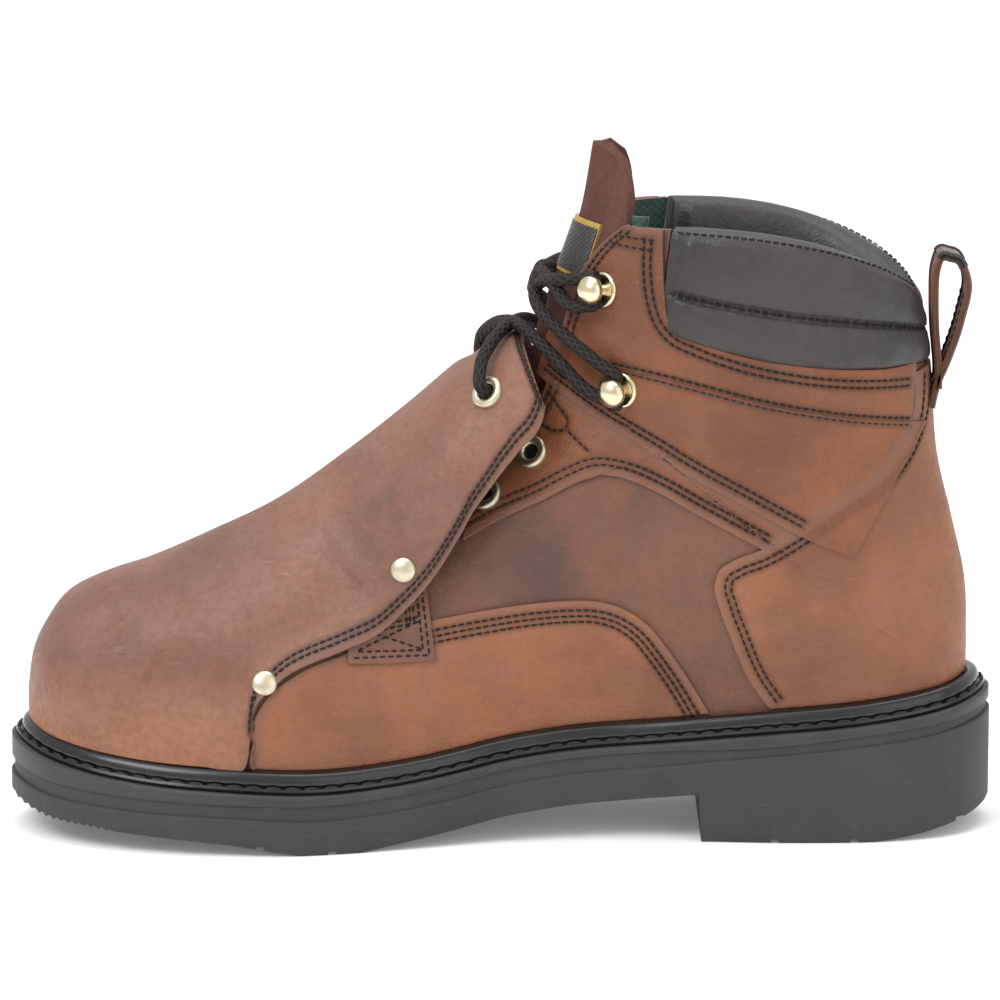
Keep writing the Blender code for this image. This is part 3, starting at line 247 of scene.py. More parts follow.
def smooth(xs, ys, x):
    """Smooth curve through a table's points, for one place or an array of them."""
    xs, ys, x = np.asarray(xs, float), np.asarray(ys, float), np.asarray(x, float)
    slopes = np.gradient(ys, xs)
    i = np.clip(np.searchsorted(xs, x) - 1, 0, len(xs) - 2)
    step = xs[i + 1] - xs[i]
    t = (x - xs[i]) / step
    h00, h10 = 2 * t**3 - 3 * t**2 + 1, t**3 - 2 * t**2 + t
    h01, h11 = 3 * t**2 - 2 * t**3, t**3 - t**2
    return h00 * ys[i] + h10 * step * slopes[i] + h01 * ys[i + 1] + h11 * step * slopes[i + 1]


def column(table, index):
    return [row[index] for row in table]


def ease(t):
    t = np.clip(t, 0.0, 1.0)
    return t * t * (3 - 2 * t)


def run_of(points):
    """Length of a path up to each of its points."""
    return np.concatenate([[0.0], np.cumsum(np.linalg.norm(np.diff(points, axis=0), axis=1))])


def along(points, count):
    """Evenly spaced points on a smooth curve through a few."""
    points = np.asarray(points, float)
    lengths = run_of(points)
    at = np.linspace(0.0, lengths[-1], count)
    return np.stack([smooth(lengths, points[:, k], at) for k in range(points.shape[1])], axis=1)


def crossed(rows, steps):
    """Row and step of every point of a grid."""
    return np.meshgrid(rows, steps, indexing="ij")


def halves(make):
    """Grid from the medial edge over the ridge to the lateral edge."""
    return np.concatenate([make(MEDIAL), make(LATERAL)[:, -2::-1]], axis=1)


# The sole's surfaces
OUTLINE_ANGLE = [math.acos(1 - 2 * share) for share in column(OUTLINE, 0)]


def edge_reach(angle, side):
    return BALL_WIDTH * smooth(OUTLINE_ANGLE, column(OUTLINE, 1 if side == MEDIAL else 2), angle)


BREAST_ENDS = (BREAST - BREAST_DRAFT / 2, BREAST + BREAST_DRAFT / 2)
BREAST_ANGLES = [math.acos(1 - 2 * share) for share in BREAST_ENDS]
CAD_ANGLES = np.linspace(0, math.pi, 33)
AXIS_SHIFT = (edge_reach(CAD_ANGLES, LATERAL).max() - edge_reach(CAD_ANGLES, MEDIAL).max()) / 2


def edge_point(angle, side, inset):
    """Points in plan on the sole's outline, moved in from the edge."""
    angle = np.asarray(angle, float)
    low, high = np.maximum(angle - 0.002, 0.0), np.minimum(angle + 0.002, math.pi)
    dx = LENGTH / 2 * (np.cos(high) - np.cos(low))
    dy = side * (edge_reach(high, side) - edge_reach(low, side))
    length = np.hypot(dx, dy)
    out_x, out_y = -dy / length * -side, dx / length * -side
    tip = (angle <= 0.0) | (angle >= math.pi)
    out_x = np.where(tip, np.where(angle <= 0.0, 1.0, -1.0), out_x)
    out_y = np.where(tip, 0.0, out_y)
    x = LENGTH / 2 * np.cos(angle)
    y = side * edge_reach(angle, side) - AXIS_SHIFT
    return x - out_x * inset, y - out_y * inset


def profile(x, index):
    return smooth(column(PROFILE, 0), column(PROFILE, index), np.clip(0.5 - x / LENGTH, 0.0, 1.0))


def sole_top(x):
    return SOLE_TOP + HEEL_RISE * profile(x, 1) + TOE_SPRING * profile(x, 2)


def band_top(x):
    return sole_top(x) - MIDSOLE * profile(x, 3)


def band_bottom(x):
    return band_top(x) - BAND * profile(x, 4)


def tread_bottom(x):
    share = 0.5 - np.asarray(x, float) / LENGTH
    rear = HEEL_BEVEL * np.clip(1 - share / BEVEL_START, 0.0, 1.0)**BEVEL_POWER
    front = np.maximum(0.0, band_bottom(x) - TREAD * profile(x, 5))
    return np.where(share < BREAST, rear, front)


def toothed_bottom(x):
    """Lower face of the tread with the saw teeth across the toe."""
    phase = np.asarray(x, float) / TOOTH_PITCH % 1.0
    tooth = TOOTH_DEPTH * np.abs(2 * phase - 1)
    return tread_bottom(x) + tooth * ease((TOOTH_END - x) / 0.006)


# The last
def inner_edge(side):
    x, y = edge_point(np.linspace(0, math.pi, 121), side, FEATHER)
    return np.maximum.accumulate(x[::-1]), side * y[::-1]


INNER = {side: inner_edge(side) for side in BOTH}
ROWS = len(FOOT_SECTIONS) + len(SHAFT_SECTIONS)
INDEX = list(range(ROWS))
FOOT_PLACE = column(FOOT_SECTIONS, 0) + [1.0]
BACK_RISE = [float(sole_top(HALF) - SOLE_TOP) / SHAFT_HEIGHT] + column(SHAFT_SECTIONS, 1)[1:]
RIDGE_PLACE = column(FOOT_SECTIONS, 1) + column(SHAFT_SECTIONS, 2)
RIDGE_HEIGHT = column(FOOT_SECTIONS, 2) + [SHAFT_HEIGHT * s for s in column(SHAFT_SECTIONS, 3)]
CENTRE = column(FOOT_SECTIONS, 3) + [0.0] * len(SHAFT_SECTIONS)
BOW = [0.0] * HEEL_SECTION + column(SHAFT_SECTIONS, 4)
SAG = [0.0] * HEEL_SECTION + column(SHAFT_SECTIONS, 5)
WIDTHS = np.array([[BALL_WIDTH * w for w in row[4:]] for row in FOOT_SECTIONS]
                  + [[COLLAR_WIDTH * w for w in row[6:]] for row in SHAFT_SECTIONS])
STEPS = np.arange(7) / 6


def section_ends(r):
    """Start and ridge of sections, as x and z."""
    foot_x = HALF * smooth(INDEX[:HEEL_SECTION + 1], FOOT_PLACE, np.minimum(r, HEEL_SECTION))
    back_r = np.maximum(r, HEEL_SECTION)
    back_x = HALF * smooth(INDEX[HEEL_SECTION:], column(SHAFT_SECTIONS, 0), back_r)
    back_z = SOLE_TOP + GAP + SHAFT_HEIGHT * smooth(INDEX[HEEL_SECTION:], BACK_RISE, back_r)
    on_foot = r <= HEEL_SECTION
    x0 = np.where(on_foot, foot_x, back_x)
    z0 = np.where(on_foot, sole_top(foot_x) + GAP, back_z)
    return x0, z0, HALF * smooth(INDEX, RIDGE_PLACE, r), SOLE_TOP + smooth(INDEX, RIDGE_HEIGHT, r)


def arch_lift(r, s):
    bow = smooth(INDEX, BOW, r) * np.sin(math.pi * np.sqrt(s))
    return SHAFT_HEIGHT * (bow + smooth(INDEX, SAG, r) * np.sin(math.pi * s))


def last(r, a, side):
    """Points of the last."""
    r, a = np.broadcast_arrays(np.asarray(r, float), np.asarray(a, float))
    x0, z0, x1, z1 = section_ends(r)
    s = (1 - np.cos(math.pi * a)) / 2
    x, z = x0 + (x1 - x0) * s, z0 + (z1 - z0) * s + arch_lift(r, s)
    low = np.interp(x, *INNER[side])
    on_foot = r < HEEL_SECTION
    foot = np.where(on_foot, np.interp(x0, *INNER[side]), 0.0)
    other = np.where(on_foot, np.interp(x0, *INNER[-side]), 0.0)
    middle = [smooth(INDEX, WIDTHS[:, i], r) for i in range(5)]
    widths = np.stack([(foot + other) / 2] + middle + [np.zeros_like(r)])
    slopes = np.gradient(widths, STEPS, axis=0)
    i = np.clip((a * 6).astype(int), 0, 5)
    t = a * 6 - i
    w0, w1 = (np.take_along_axis(widths, i[None] + k, 0)[0] for k in (0, 1))
    m0, m1 = (np.take_along_axis(slopes, i[None] + k, 0)[0] / 6 for k in (0, 1))
    high = (2 * t**3 - 3 * t**2 + 1) * w0 + (t**3 - 2 * t**2 + t) * m0
    high += (3 * t**2 - 2 * t**3) * w1 + (t**3 - t**2) * m1
    high += (foot - other) / 2 * (1 - s) + side * BALL_WIDTH * smooth(INDEX, CENTRE, r) * s
    blend = ease((z - sole_top(x) - GAP - BEAD_HEIGHT) / BLEND_HEIGHT)
    return np.stack([x, side * (low + (high - low) * blend), z], axis=-1)


def unit(v):
    return v / np.maximum(np.linalg.norm(v, axis=-1, keepdims=True), 1e-12)


def last_normal(r, a, side):
    r, a = np.broadcast_arrays(np.asarray(r, float), np.asarray(a, float))
    near_a, near_r = np.clip(a, 0.03, 0.985), np.clip(r, 0.02, ROWS - 1.02)
    up = last(near_r, near_a + 0.01, side) - last(near_r, near_a - 0.01, side)
    on = last(near_r + 0.02, near_a, side) - last(near_r - 0.02, near_a, side)
    out = np.cross(up, on) * side
    flat = (a > 0.999) | (r < 0.001) | ((a < 0.001) & (r >= HEEL_SECTION))
    out[..., 1] = np.where(flat, 0.0, out[..., 1])
    return unit(out)


# Folds of worn leather: a line in the side view in millimetres, half width and depth in metres;
# a negative depth is a ridge. The medial side takes all, the lateral side those marked.
FOLDS = (
    # points, half width, depth, both sides
    (((22, 150), (30, 140), (44, 131), (56, 128)), 0.006, 0.0012, True),
    (((24, 172), (36, 166), (46, 160)), 0.005, 0.0010, True),
    (((60, 138), (84, 132), (108, 128), (128, 126)), 0.007, 0.0016, True),
    (((66, 128), (88, 124), (112, 117)), 0.006, -0.0008, False),
    (((92, 92), (108, 84), (126, 80)), 0.009, 0.0010, False),
    (((84, 70), (100, 60), (120, 58)), 0.010, -0.0009, True),
    (((0, 96), (20, 100), (44, 96)), 0.009, 0.0010, True),
    (((12, 62), (30, 58), (44, 50)), 0.009, 0.0008, False),
    (((-40, 46), (-20, 52), (0, 50)), 0.011, 0.0009, True),
)


def fold_depth(points, side, folds):
    """Inward shift of points from a list of folds."""
    depth = np.zeros(points.shape[:-1])
    for line, width, amount, both in folds:
        if side == LATERAL and not both:
            continue
        path = along(np.array(line) / 1000, 40)
        flat = points[..., [0, 2]]
        away = np.linalg.norm(flat[..., None, :] - path, axis=-1)
        near = away.min(axis=-1)
        end = np.sin(math.pi * np.clip(away.argmin(axis=-1) / 39, 0.0, 1.0))**0.5
        depth += amount * end * np.exp(-(near / width)**2)
    return depth


def on_last(r, a, side, offset):
    """Points at a distance outside the last, with the folds of the leather."""
    base = last(r, a, side)
    out = last_normal(r, a, side)
    return base + out * (offset - fold_depth(base, side, FOLDS))[..., None]


def share_on(x, z, r):
    """Share of the way up sections, of places in the side view, with the sections' ends."""
    x0, z0, x1, z1 = section_ends(r)
    s = ((x - x0) * (x1 - x0) + (z - z0) * (z1 - z0)) / ((x1 - x0)**2 + (z1 - z0)**2)
    return np.clip(s, 0.0, 1.0), x0, z0, x1, z1


def section_at(x, z):
    """Sections and steps of the last behind places in the side view."""
    x, z = np.broadcast_arrays(np.asarray(x, float), np.asarray(z, float))
    low, high = np.zeros_like(x), np.full_like(x, ROWS - 1.0)
    for _ in range(34):
        mid = (low + high) / 2
        s, x0, z0, x1, z1 = share_on(x, z, mid)
        ahead = (x1 - x0) * (z - arch_lift(mid, s) - z0) - (z1 - z0) * (x - x0) < 0
        low, high = np.where(ahead, mid, low), np.where(ahead, high, mid)
    r = (low + high) / 2
    return r, np.arccos(1 - 2 * share_on(x, z, r)[0]) / math.pi


def skin_height(x):
    return sole_top(x) + GAP + BEAD_HEIGHT + SKIN_GAP


# Mesh helpers
MERGE = 2e-6
SLIVER = 1e-7


def add_mesh(name, points, faces, finish, uv=None, solid=False):
    """New object from points and faces, doubles merged, shaded smooth but for sharp edges. The faces
    of a solid are turned outward, those of a sheet look where they were given."""
    mesh = bpy.data.meshes.new(name)
    faces = faces if isinstance(faces, list) else np.asarray(faces).tolist()
    mesh.from_pydata(np.asarray(points, float).reshape(-1, 3).tolist(), [], faces)
    if uv is not None:
        layer = mesh.uv_layers.new(name="surface")
        flat = np.asarray(uv, float).reshape(-1, 2)
        loops = np.empty(len(mesh.loops), int)
        mesh.loops.foreach_get("vertex_index", loops)
        layer.data.foreach_set("uv", flat[loops].ravel())
    bm = bmesh.new()
    bm.from_mesh(mesh)
    bmesh.ops.remove_doubles(bm, verts=bm.verts, dist=MERGE)
    bmesh.ops.dissolve_degenerate(bm, edges=bm.edges, dist=SLIVER)
    faced = [face.normal.copy() for face in bm.faces]
    bmesh.ops.recalc_face_normals(bm, faces=bm.faces)
    if not solid and sum(face.normal.dot(old) for face, old in zip(bm.faces, faced)) < 0:
        bmesh.ops.reverse_faces(bm, faces=bm.faces)
    bm.to_mesh(mesh)
    bm.free()
    mesh.shade_smooth()
    mesh.set_sharp_from_angle(angle=math.radians(45))
    mesh.materials.append(finish)
    thing = bpy.data.objects.new(name, mesh)
    bpy.context.scene.collection.objects.link(thing)
    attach(thing, "root")
    return thing


def grid_faces(rows, columns, closed_rows=False, closed_columns=False):
    i = np.arange(rows if closed_rows else rows - 1)[:, None]
    j = np.arange(columns if closed_columns else columns - 1)[None, :]
    k, m = (i + 1) % rows, (j + 1) % columns
    corners = [i * columns + j, i * columns + m, k * columns + m, k * columns + j]
    return np.stack(corners, axis=-1).reshape(-1, 4)


def side_faces(rows, columns, side):
    """Faces of a sheet on one side, looking outward."""
    faces = grid_faces(rows, columns)
    return faces[:, ::-1] if side == MEDIAL else faces


def apply_all(thing):
    """Apply the modifiers of a piece."""
    for other in bpy.context.selected_objects:
        other.select_set(False)
    thing.select_set(True)
    bpy.context.view_layer.objects.active = thing
    for modifier in list(thing.modifiers):
        bpy.ops.object.modifier_apply(modifier=modifier.name)
    thing.select_set(False)


def thicken(thing, wall, lining=None, round_edge=0.0):
    """Give a sheet its wall, inwards, and round its edges."""
    solid = thing.modifiers.new("wall", "SOLIDIFY")
    solid.thickness = wall
    solid.offset = -1.0
    if lining is not None:
        thing.data.materials.append(lining)
        solid.material_offset = 1
    if round_edge:
        bevel = thing.modifiers.new("edge", "BEVEL")
        bevel.width = round_edge
        bevel.segments = 2
        bevel.limit_method = "ANGLE"
        bevel.angle_limit = math.radians(50)
    apply_all(thing)
    thing.data.set_sharp_from_angle(angle=math.radians(60))
    return thing


def near_tree(paths):
    """Search tree over the points of paths."""
    points = np.concatenate([np.asarray(path).reshape(-1, 3) for path in paths])
    tree = KDTree(len(points))
    for i, point in enumerate(points):
        tree.insert(point, i)
    tree.balance()
    return tree


def nearness(points, tree, width):
    """1 on the tree's points, falling to 0 over a width."""
    flat = np.asarray(points).reshape(-1, 3)
    away = np.array([tree.find(point)[2] for point in flat]).reshape(np.asarray(points).shape[:-1])
    return np.exp(-(away / width)**2)


def mark(thing, seam_tree, edge_tree):
    """Keep, for the leather, how near each vertex lies to a seam (where shade is painted along the pressed
    grooves) and to a cut edge.
    """
    mesh = thing.data
    points = np.empty(len(mesh.vertices) * 3)
    mesh.vertices.foreach_get("co", points)
    points = points.reshape(-1, 3)
    for name, tree, width in (("seam", seam_tree, SEAM_SHADE_SPREAD), ("lip", edge_tree, LIP_SPREAD)):
        layer = mesh.attributes.new(name, "FLOAT", "POINT")
        layer.data.foreach_set("value", nearness(points, tree, width))


# Materials
class Value:
    """A number on a shader socket, for writing maths as expressions."""

    def __init__(self, tree, socket):
        self.tree, self.socket = tree, socket

    def join(self, operation, other, swap=False):
        node = self.tree.nodes.new("ShaderNodeMath")
        node.operation = operation
        for i, item in enumerate((other, self) if swap else (self, other)):
            if isinstance(item, Value):
                self.tree.links.new(item.socket, node.inputs[i])
            elif item is not None:
                node.inputs[i].default_value = item
        return Value(self.tree, node.outputs[0])

    def __add__(self, other):
        return self.join("ADD", other)

    def __radd__(self, other):
        return self.join("ADD", other, True)

    def __sub__(self, other):
        return self.join("SUBTRACT", other)

    def __rsub__(self, other):
        return self.join("SUBTRACT", other, True)

    def __mul__(self, other):
        return self.join("MULTIPLY", other)

    def __rmul__(self, other):
        return self.join("MULTIPLY", other, True)

    def highest(self, other):
        return self.join("MAXIMUM", other)

    def sine(self):
        return self.join("SINE", None)

    def between(self, low, high):
        """0 below low, 1 above high, smooth between."""
        node = self.tree.nodes.new("ShaderNodeMapRange")
        node.interpolation_type = "SMOOTHSTEP"
        self.tree.links.new(self.socket, node.inputs[0])
        node.inputs[1].default_value = low
        node.inputs[2].default_value = high
        return Value(self.tree, node.outputs[0])


class Finish:
    """A material with its Principled shader and short ways to add nodes."""

    def __init__(self, name, roughness, metallic=0.0, coat=0.0, sheen=0.0, specular=0.5):
        self.material = bpy.data.materials.new(name)
        self.material.use_nodes = True
        self.tree = self.material.node_tree
        self.shader = self.tree.nodes["Principled BSDF"]
        self.shader.inputs["Roughness"].default_value = roughness
        self.shader.inputs["Metallic"].default_value = metallic
        self.shader.inputs["Coat Weight"].default_value = coat
        self.shader.inputs["Coat Roughness"].default_value = 0.25
        self.shader.inputs["Sheen Weight"].default_value = sheen
        self.shader.inputs["Specular IOR Level"].default_value = specular
        self.place = self.node("TexCoord").outputs["Object"]

    def node(self, kind, settings=(), **sockets):
        made = self.tree.nodes.new("ShaderNode" + kind)
        for key, value in dict(settings).items():
            setattr(made, key, value)
        for key, value in sockets.items():
            socket = made.inputs[int(key[1:])] if key[0] == "_" else made.inputs[key.replace("_", " ")]
            if isinstance(value, Value):
                value = value.socket
            if isinstance(value, bpy.types.NodeSocket):
                self.tree.links.new(value, socket)
            else:
                socket.default_value = value
        return made

    def axis(self, index):
        return Value(self.tree, self.node("SeparateXYZ", _0=self.place).outputs[index])

    def uv(self, index):
        place = self.node("UVMap", {"uv_map": "surface"}).outputs[0]
        return Value(self.tree, self.node("SeparateXYZ", _0=place).outputs[index])

    def mark(self, name):
        made = self.node("Attribute", {"attribute_name": name})
        return Value(self.tree, made.outputs["Fac"])

    def noise(self, scale, detail=4.0, rough=0.55, stretch=None, place=None):
        place = place or self.place
        if stretch is not None:
            place = self.node("Mapping", _0=place, Scale=stretch).outputs[0]
        made = self.node("TexNoise", Vector=place, Scale=scale, Detail=detail, Roughness=rough)
        return Value(self.tree, made.outputs[0])

    def cells(self, scale):
        made = self.node("TexVoronoi", Vector=self.place, Scale=scale)
        return Value(self.tree, made.outputs[0])

    def mix(self, share, first, second, blend="MIX"):
        made = self.node("Mix", {"data_type": "RGBA", "blend_type": blend}, _0=share)
        for index, colour in ((6, first), (7, second)):
            if isinstance(colour, tuple):
                made.inputs[index].default_value = (*colour, 1.0)
            else:
                self.tree.links.new(colour, made.inputs[index])
        return made.outputs[2]

    def colour(self, socket):
        self.tree.links.new(socket, self.shader.inputs["Base Color"])

    def rough(self, value):
        self.tree.links.new(value.socket, self.shader.inputs["Roughness"])

    def bump(self, height, strength=0.4, distance=0.0005):
        made = self.node("Bump", Strength=strength, Distance=distance, Height=height)
        self.tree.links.new(made.outputs[0], self.shader.inputs["Normal"])


def leather(name, light, dark, patch, patch_share=0.5, rough=0.52, grain=1.0, seed=0.0):
    """Oiled leather: mottled colour, pale scuffs, fine grain and pores, and painted shade along the seams."""
    f = Finish(name, rough, specular=0.30)
    shifted = f.node("Mapping", _0=f.place, Location=(seed, seed * 0.7, seed * 1.3)).outputs[0]
    broad = f.noise(17.0, 5.0, 0.6, place=shifted).between(0.36, 0.66)
    middle = f.noise(60.0, 5.0, 0.62, place=shifted).between(0.40, 0.68)
    speck = f.noise(420.0, 3.0, 0.6).between(0.35, 0.75)
    deep = tuple(c * 0.72 for c in dark)
    base = f.mix(broad, light, dark)
    base = f.mix(f.noise(9.0, 4.0, 0.6, place=shifted).between(0.50, 0.72) * 0.55, base, deep)
    base = f.mix(middle * patch_share, base, patch)
    base = f.mix(speck * 0.32, base, dark)
    hairline = f.noise(520.0, 4.0, 0.7, stretch=(0.35, 1.0, 1.6), place=shifted).between(0.56, 0.70)
    base = f.mix(hairline * 0.22, base, tuple(min(1.0, c * 1.35 + 0.02) for c in light))
    scuff_field = f.noise(240.0, 4.0, 0.7, stretch=(1.0, 1.0, 3.5), place=shifted)
    scuffs = scuff_field.between(0.64, 0.74) * f.noise(34.0, 2.0, 0.5, place=shifted).between(0.52, 0.66)
    pale = tuple(min(1.0, c * 1.5 + 0.04) for c in light)
    base = f.mix(scuffs * 0.4, base, pale)
    seam_shade, lip_near = f.mark("seam"), f.mark("lip")
    worn = f.noise(130.0, 3.0, 0.6).between(0.30, 0.62)
    base = f.mix(lip_near * (0.35 + worn * 0.45), base, (0.185, 0.098, 0.070))
    # Painted shade: the leather turns much darker along the stitch rows, standing in for the shade in the
    # pressed seam grooves
    base = f.mix(seam_shade * 0.62, base, tuple(c * 0.30 for c in dark))
    f.colour(base)
    grainy = f.noise(1500.0, 2.0, 0.5)
    pores = f.cells(900.0)
    height = grainy * 0.5 + pores * 0.5 + f.noise(260.0, 4.0, 0.6) * 1.6 - scuffs * 0.4 - hairline * 0.3
    f.bump(height, 0.50 * grain, 0.0005)
    f.rough(rough - 0.10 + middle * 0.10 + speck * 0.08 + scuffs * 0.08)
    return f.material


def rubber(name, tone, rough, wear=0.0, coat=0.0):
    f = Finish(name, rough, coat=coat, specular=0.4)
    cloud = f.noise(40.0, 5.0, 0.65).between(0.3, 0.75)
    fine = f.noise(700.0, 3.0, 0.6)
    light = tuple(c * 1.35 + 0.004 for c in tone)
    base = f.mix(cloud, tone, light)
    scratches = f.noise(300.0, 3.0, 0.7, stretch=(0.25, 1.0, 2.0)).between(0.60, 0.72)
    base = f.mix(scratches * wear, base, tuple(c * 2.2 + 0.02 for c in tone))
    f.colour(base)
    f.bump(fine * 0.7 + scratches * 0.5, 0.18, 0.0003)
    f.rough(rough - 0.06 + cloud * 0.12)
    return f.material


def brass(name, tone, rough):
    f = Finish(name, rough, metallic=1.0)
    cloud = f.noise(320.0, 3.0, 0.6).between(0.35, 0.7)
    f.colour(f.mix(cloud, tone, tuple(c * 0.80 for c in tone)))
    f.rough(rough + cloud * 0.12)
    f.bump(f.noise(900.0, 2.0, 0.5), 0.06, 0.0002)
    return f.material


def thread(name, tone):
    f = Finish(name, 0.6, specular=0.3)
    twist = (f.axis(0) * 5200.0 + f.axis(2) * 5200.0).sine() * 0.5 + 0.5
    f.colour(f.mix(twist * 0.6, tone, tuple(c * 2.0 + 0.01 for c in tone)))
    f.bump(twist, 0.4, 0.0002)
    return f.material


def cord_finish(name, dark, light):
    """Round braid: two families of diagonal strands from the cord's own UV."""
    f = Finish(name, 0.7, specular=0.3)
    round_turns, strand = f.uv(0), f.uv(1)
    one = ((round_turns * 6.0 + strand * 1.0) * 2 * math.pi).sine() * 0.5 + 0.5
    two = ((round_turns * 6.0 - strand * 1.0) * 2 * math.pi).sine() * 0.5 + 0.5
    braid = one.highest(two)
    fuzz = f.noise(1600.0, 3.0, 0.7)
    base = f.mix(braid.between(0.55, 1.0), dark, light)
    f.colour(f.mix(fuzz.between(0.5, 0.8) * 0.35, base, tuple(c * 1.8 for c in light)))
    f.bump(braid + fuzz * 0.3, 0.8, 0.0006)
    return f.material


def cloth(name, tone, pale, scale=1200.0):
    f = Finish(name, 0.9, sheen=0.4)
    warp = (f.axis(0) * scale * 2).sine() * (f.axis(2) * scale * 2).sine()
    fuzz = f.noise(500.0, 4.0, 0.7)
    f.colour(f.mix(fuzz.between(0.35, 0.7), tone, pale))
    f.bump(warp * 0.4 + fuzz, 0.5, 0.0005)
    return f.material


WARM = leather("brown_leather_warm", (0.290, 0.108, 0.050), (0.185, 0.070, 0.036),
               (0.215, 0.098, 0.060))
SHAFT = leather("brown_leather_shaft", (0.250, 0.086, 0.036), (0.140, 0.052, 0.027),
                (0.165, 0.070, 0.042), seed=0.31)
QUARTER = leather("brown_leather_quarter", (0.165, 0.076, 0.048), (0.095, 0.050, 0.038),
                  (0.210, 0.080, 0.040), seed=0.17)
LIP = leather("brown_leather_edge", (0.200, 0.090, 0.058), (0.130, 0.062, 0.045),
              (0.220, 0.088, 0.050), 0.4, seed=0.53)
RAW = leather("brown_leather_raw_edge", (0.26, 0.135, 0.085), (0.15, 0.075, 0.050),
              (0.22, 0.11, 0.07), 0.4, 0.8)
DARK = leather("collar_leather_soft", (0.052, 0.046, 0.046), (0.034, 0.030, 0.030),
               (0.060, 0.052, 0.052), 0.4, 0.42, 0.7)
SUEDE = leather("tongue_leather_soft", (0.105, 0.040, 0.028), (0.060, 0.024, 0.018),
                (0.135, 0.060, 0.046), 0.5, 0.85, 1.6)
TREAD_RUBBER = rubber("tread_rubber_worn", (0.030, 0.030, 0.032), 0.62, 0.30)
BAND_RUBBER = rubber("midsole_rubber_band", (0.028, 0.028, 0.031), 0.50, 0.25)
WELT_RUBBER = rubber("welt_rubber_gloss", (0.005, 0.005, 0.006), 0.26, 0.05, 0.35)
BRASS = brass("pale_brass_polished", (0.80, 0.70, 0.47), 0.20)
DULL_BRASS = brass("pale_brass_rivet", (0.66, 0.60, 0.44), 0.34)
THREAD_FINISH = thread("black_thread", (0.007, 0.005, 0.004))
WELT_THREAD = thread("welt_thread", (0.010, 0.010, 0.011))
LACE_FINISH = cord_finish("lace_braid", (0.006, 0.005, 0.004), (0.026, 0.018, 0.014))
LINING = cloth("green_lining", (0.012, 0.050, 0.035), (0.025, 0.085, 0.060))
BOARD = cloth("insole_felt", (0.30, 0.22, 0.15), (0.38, 0.29, 0.20))
LABEL = cloth("plain_label_border", (0.34, 0.20, 0.02), (0.44, 0.28, 0.04), 2400.0)
LABEL_EDGE = cloth("plain_label_dark", (0.015, 0.013, 0.012), (0.03, 0.028, 0.025), 2400.0)


def guard_leather():
    """The guard's leather: mauve brown on top, warmer towards the welt, with broad dark clouds."""
    f = Finish("guard_leather_mottled", 0.55, specular=0.32)
    height, foot = f.axis(2), f.axis(0)
    low = 1 - (height + f.noise(30.0, 3.0, 0.6) * 0.030).between(0.040, 0.082)
    rear = (foot + f.noise(24.0, 3.0, 0.6) * 0.05).between(-0.02, 0.05)
    broad = f.noise(19.0, 5.0, 0.6).between(0.40, 0.64)
    middle = f.noise(75.0, 5.0, 0.65).between(0.42, 0.70)
    speck = f.noise(420.0, 3.0, 0.6).between(0.35, 0.75)
    base = f.mix(broad, (0.225, 0.112, 0.078), (0.135, 0.068, 0.050))
    base = f.mix(low * 0.85, base, (0.330, 0.135, 0.068))
    base = f.mix(rear * 0.30, base, (0.250, 0.100, 0.055))
    base = f.mix(middle * 0.48, base, (0.250, 0.104, 0.060))
    base = f.mix(speck * 0.34, base, (0.115, 0.056, 0.041))
    shade = f.noise(11.0, 4.0, 0.6).between(0.50, 0.70)
    base = f.mix(shade * 0.50, base, (0.095, 0.050, 0.040))
    streaks = f.noise(170.0, 4.0, 0.7, stretch=(0.5, 1.0, 2.4)).between(0.62, 0.74)
    base = f.mix(streaks * 0.30, base, (0.34, 0.20, 0.145))
    worn = f.noise(130.0, 3.0, 0.6).between(0.30, 0.62)
    base = f.mix(f.mark("lip") * (0.25 + worn * 0.45), base, (0.165, 0.085, 0.060))
    # Painted shade: near-black along the stitch rows, standing in for the shade in the pressed seam grooves
    f.colour(f.mix(f.mark("seam") * 0.62, base, (0.030, 0.016, 0.012)))
    grain = f.noise(1500.0, 2.0, 0.5) * 0.5 + f.cells(900.0) * 0.5 + f.noise(240.0, 4.0, 0.6) * 1.6
    f.bump(grain, 0.50, 0.0005)
    f.rough(0.46 + middle * 0.10 + speck * 0.08)
    return f.material


GUARD = guard_leather()


# The sole
FINE = np.unique(np.concatenate([np.linspace(0, math.pi, 421), BREAST_ANGLES]))
FINE = FINE[np.abs(FINE - np.mean(BREAST_ANGLES)) > 0.0005]


def ring(inset, height):
    """One closed level of a sole plate, from the heel along the medial side and back."""
    xm, ym = edge_point(FINE, MEDIAL, inset)
    xl, yl = edge_point(FINE[-2:0:-1], LATERAL, inset)
    x, y = np.concatenate([xm, xl]), np.concatenate([ym, yl])
    return np.stack([x, y, height(x)], axis=-1)


def plate(name, levels, finish):
    """Solid plate through levels from its lower face to its upper face."""
    points = np.concatenate([ring(inset, height) for inset, height in levels])
    count = 2 * len(FINE) - 2
    faces = [tuple(f[::-1]) for f in grid_faces(len(levels), count, False, True).tolist()]
    top = (len(levels) - 1) * count
    for i in range(len(FINE) - 1):
        cap = tuple(dict.fromkeys((i, i + 1, count - i - 1, (count - i) % count)))
        faces.append(cap)
        faces.append(tuple(top + v for v in cap[::-1]))
    return add_mesh(name, points, faces, finish)


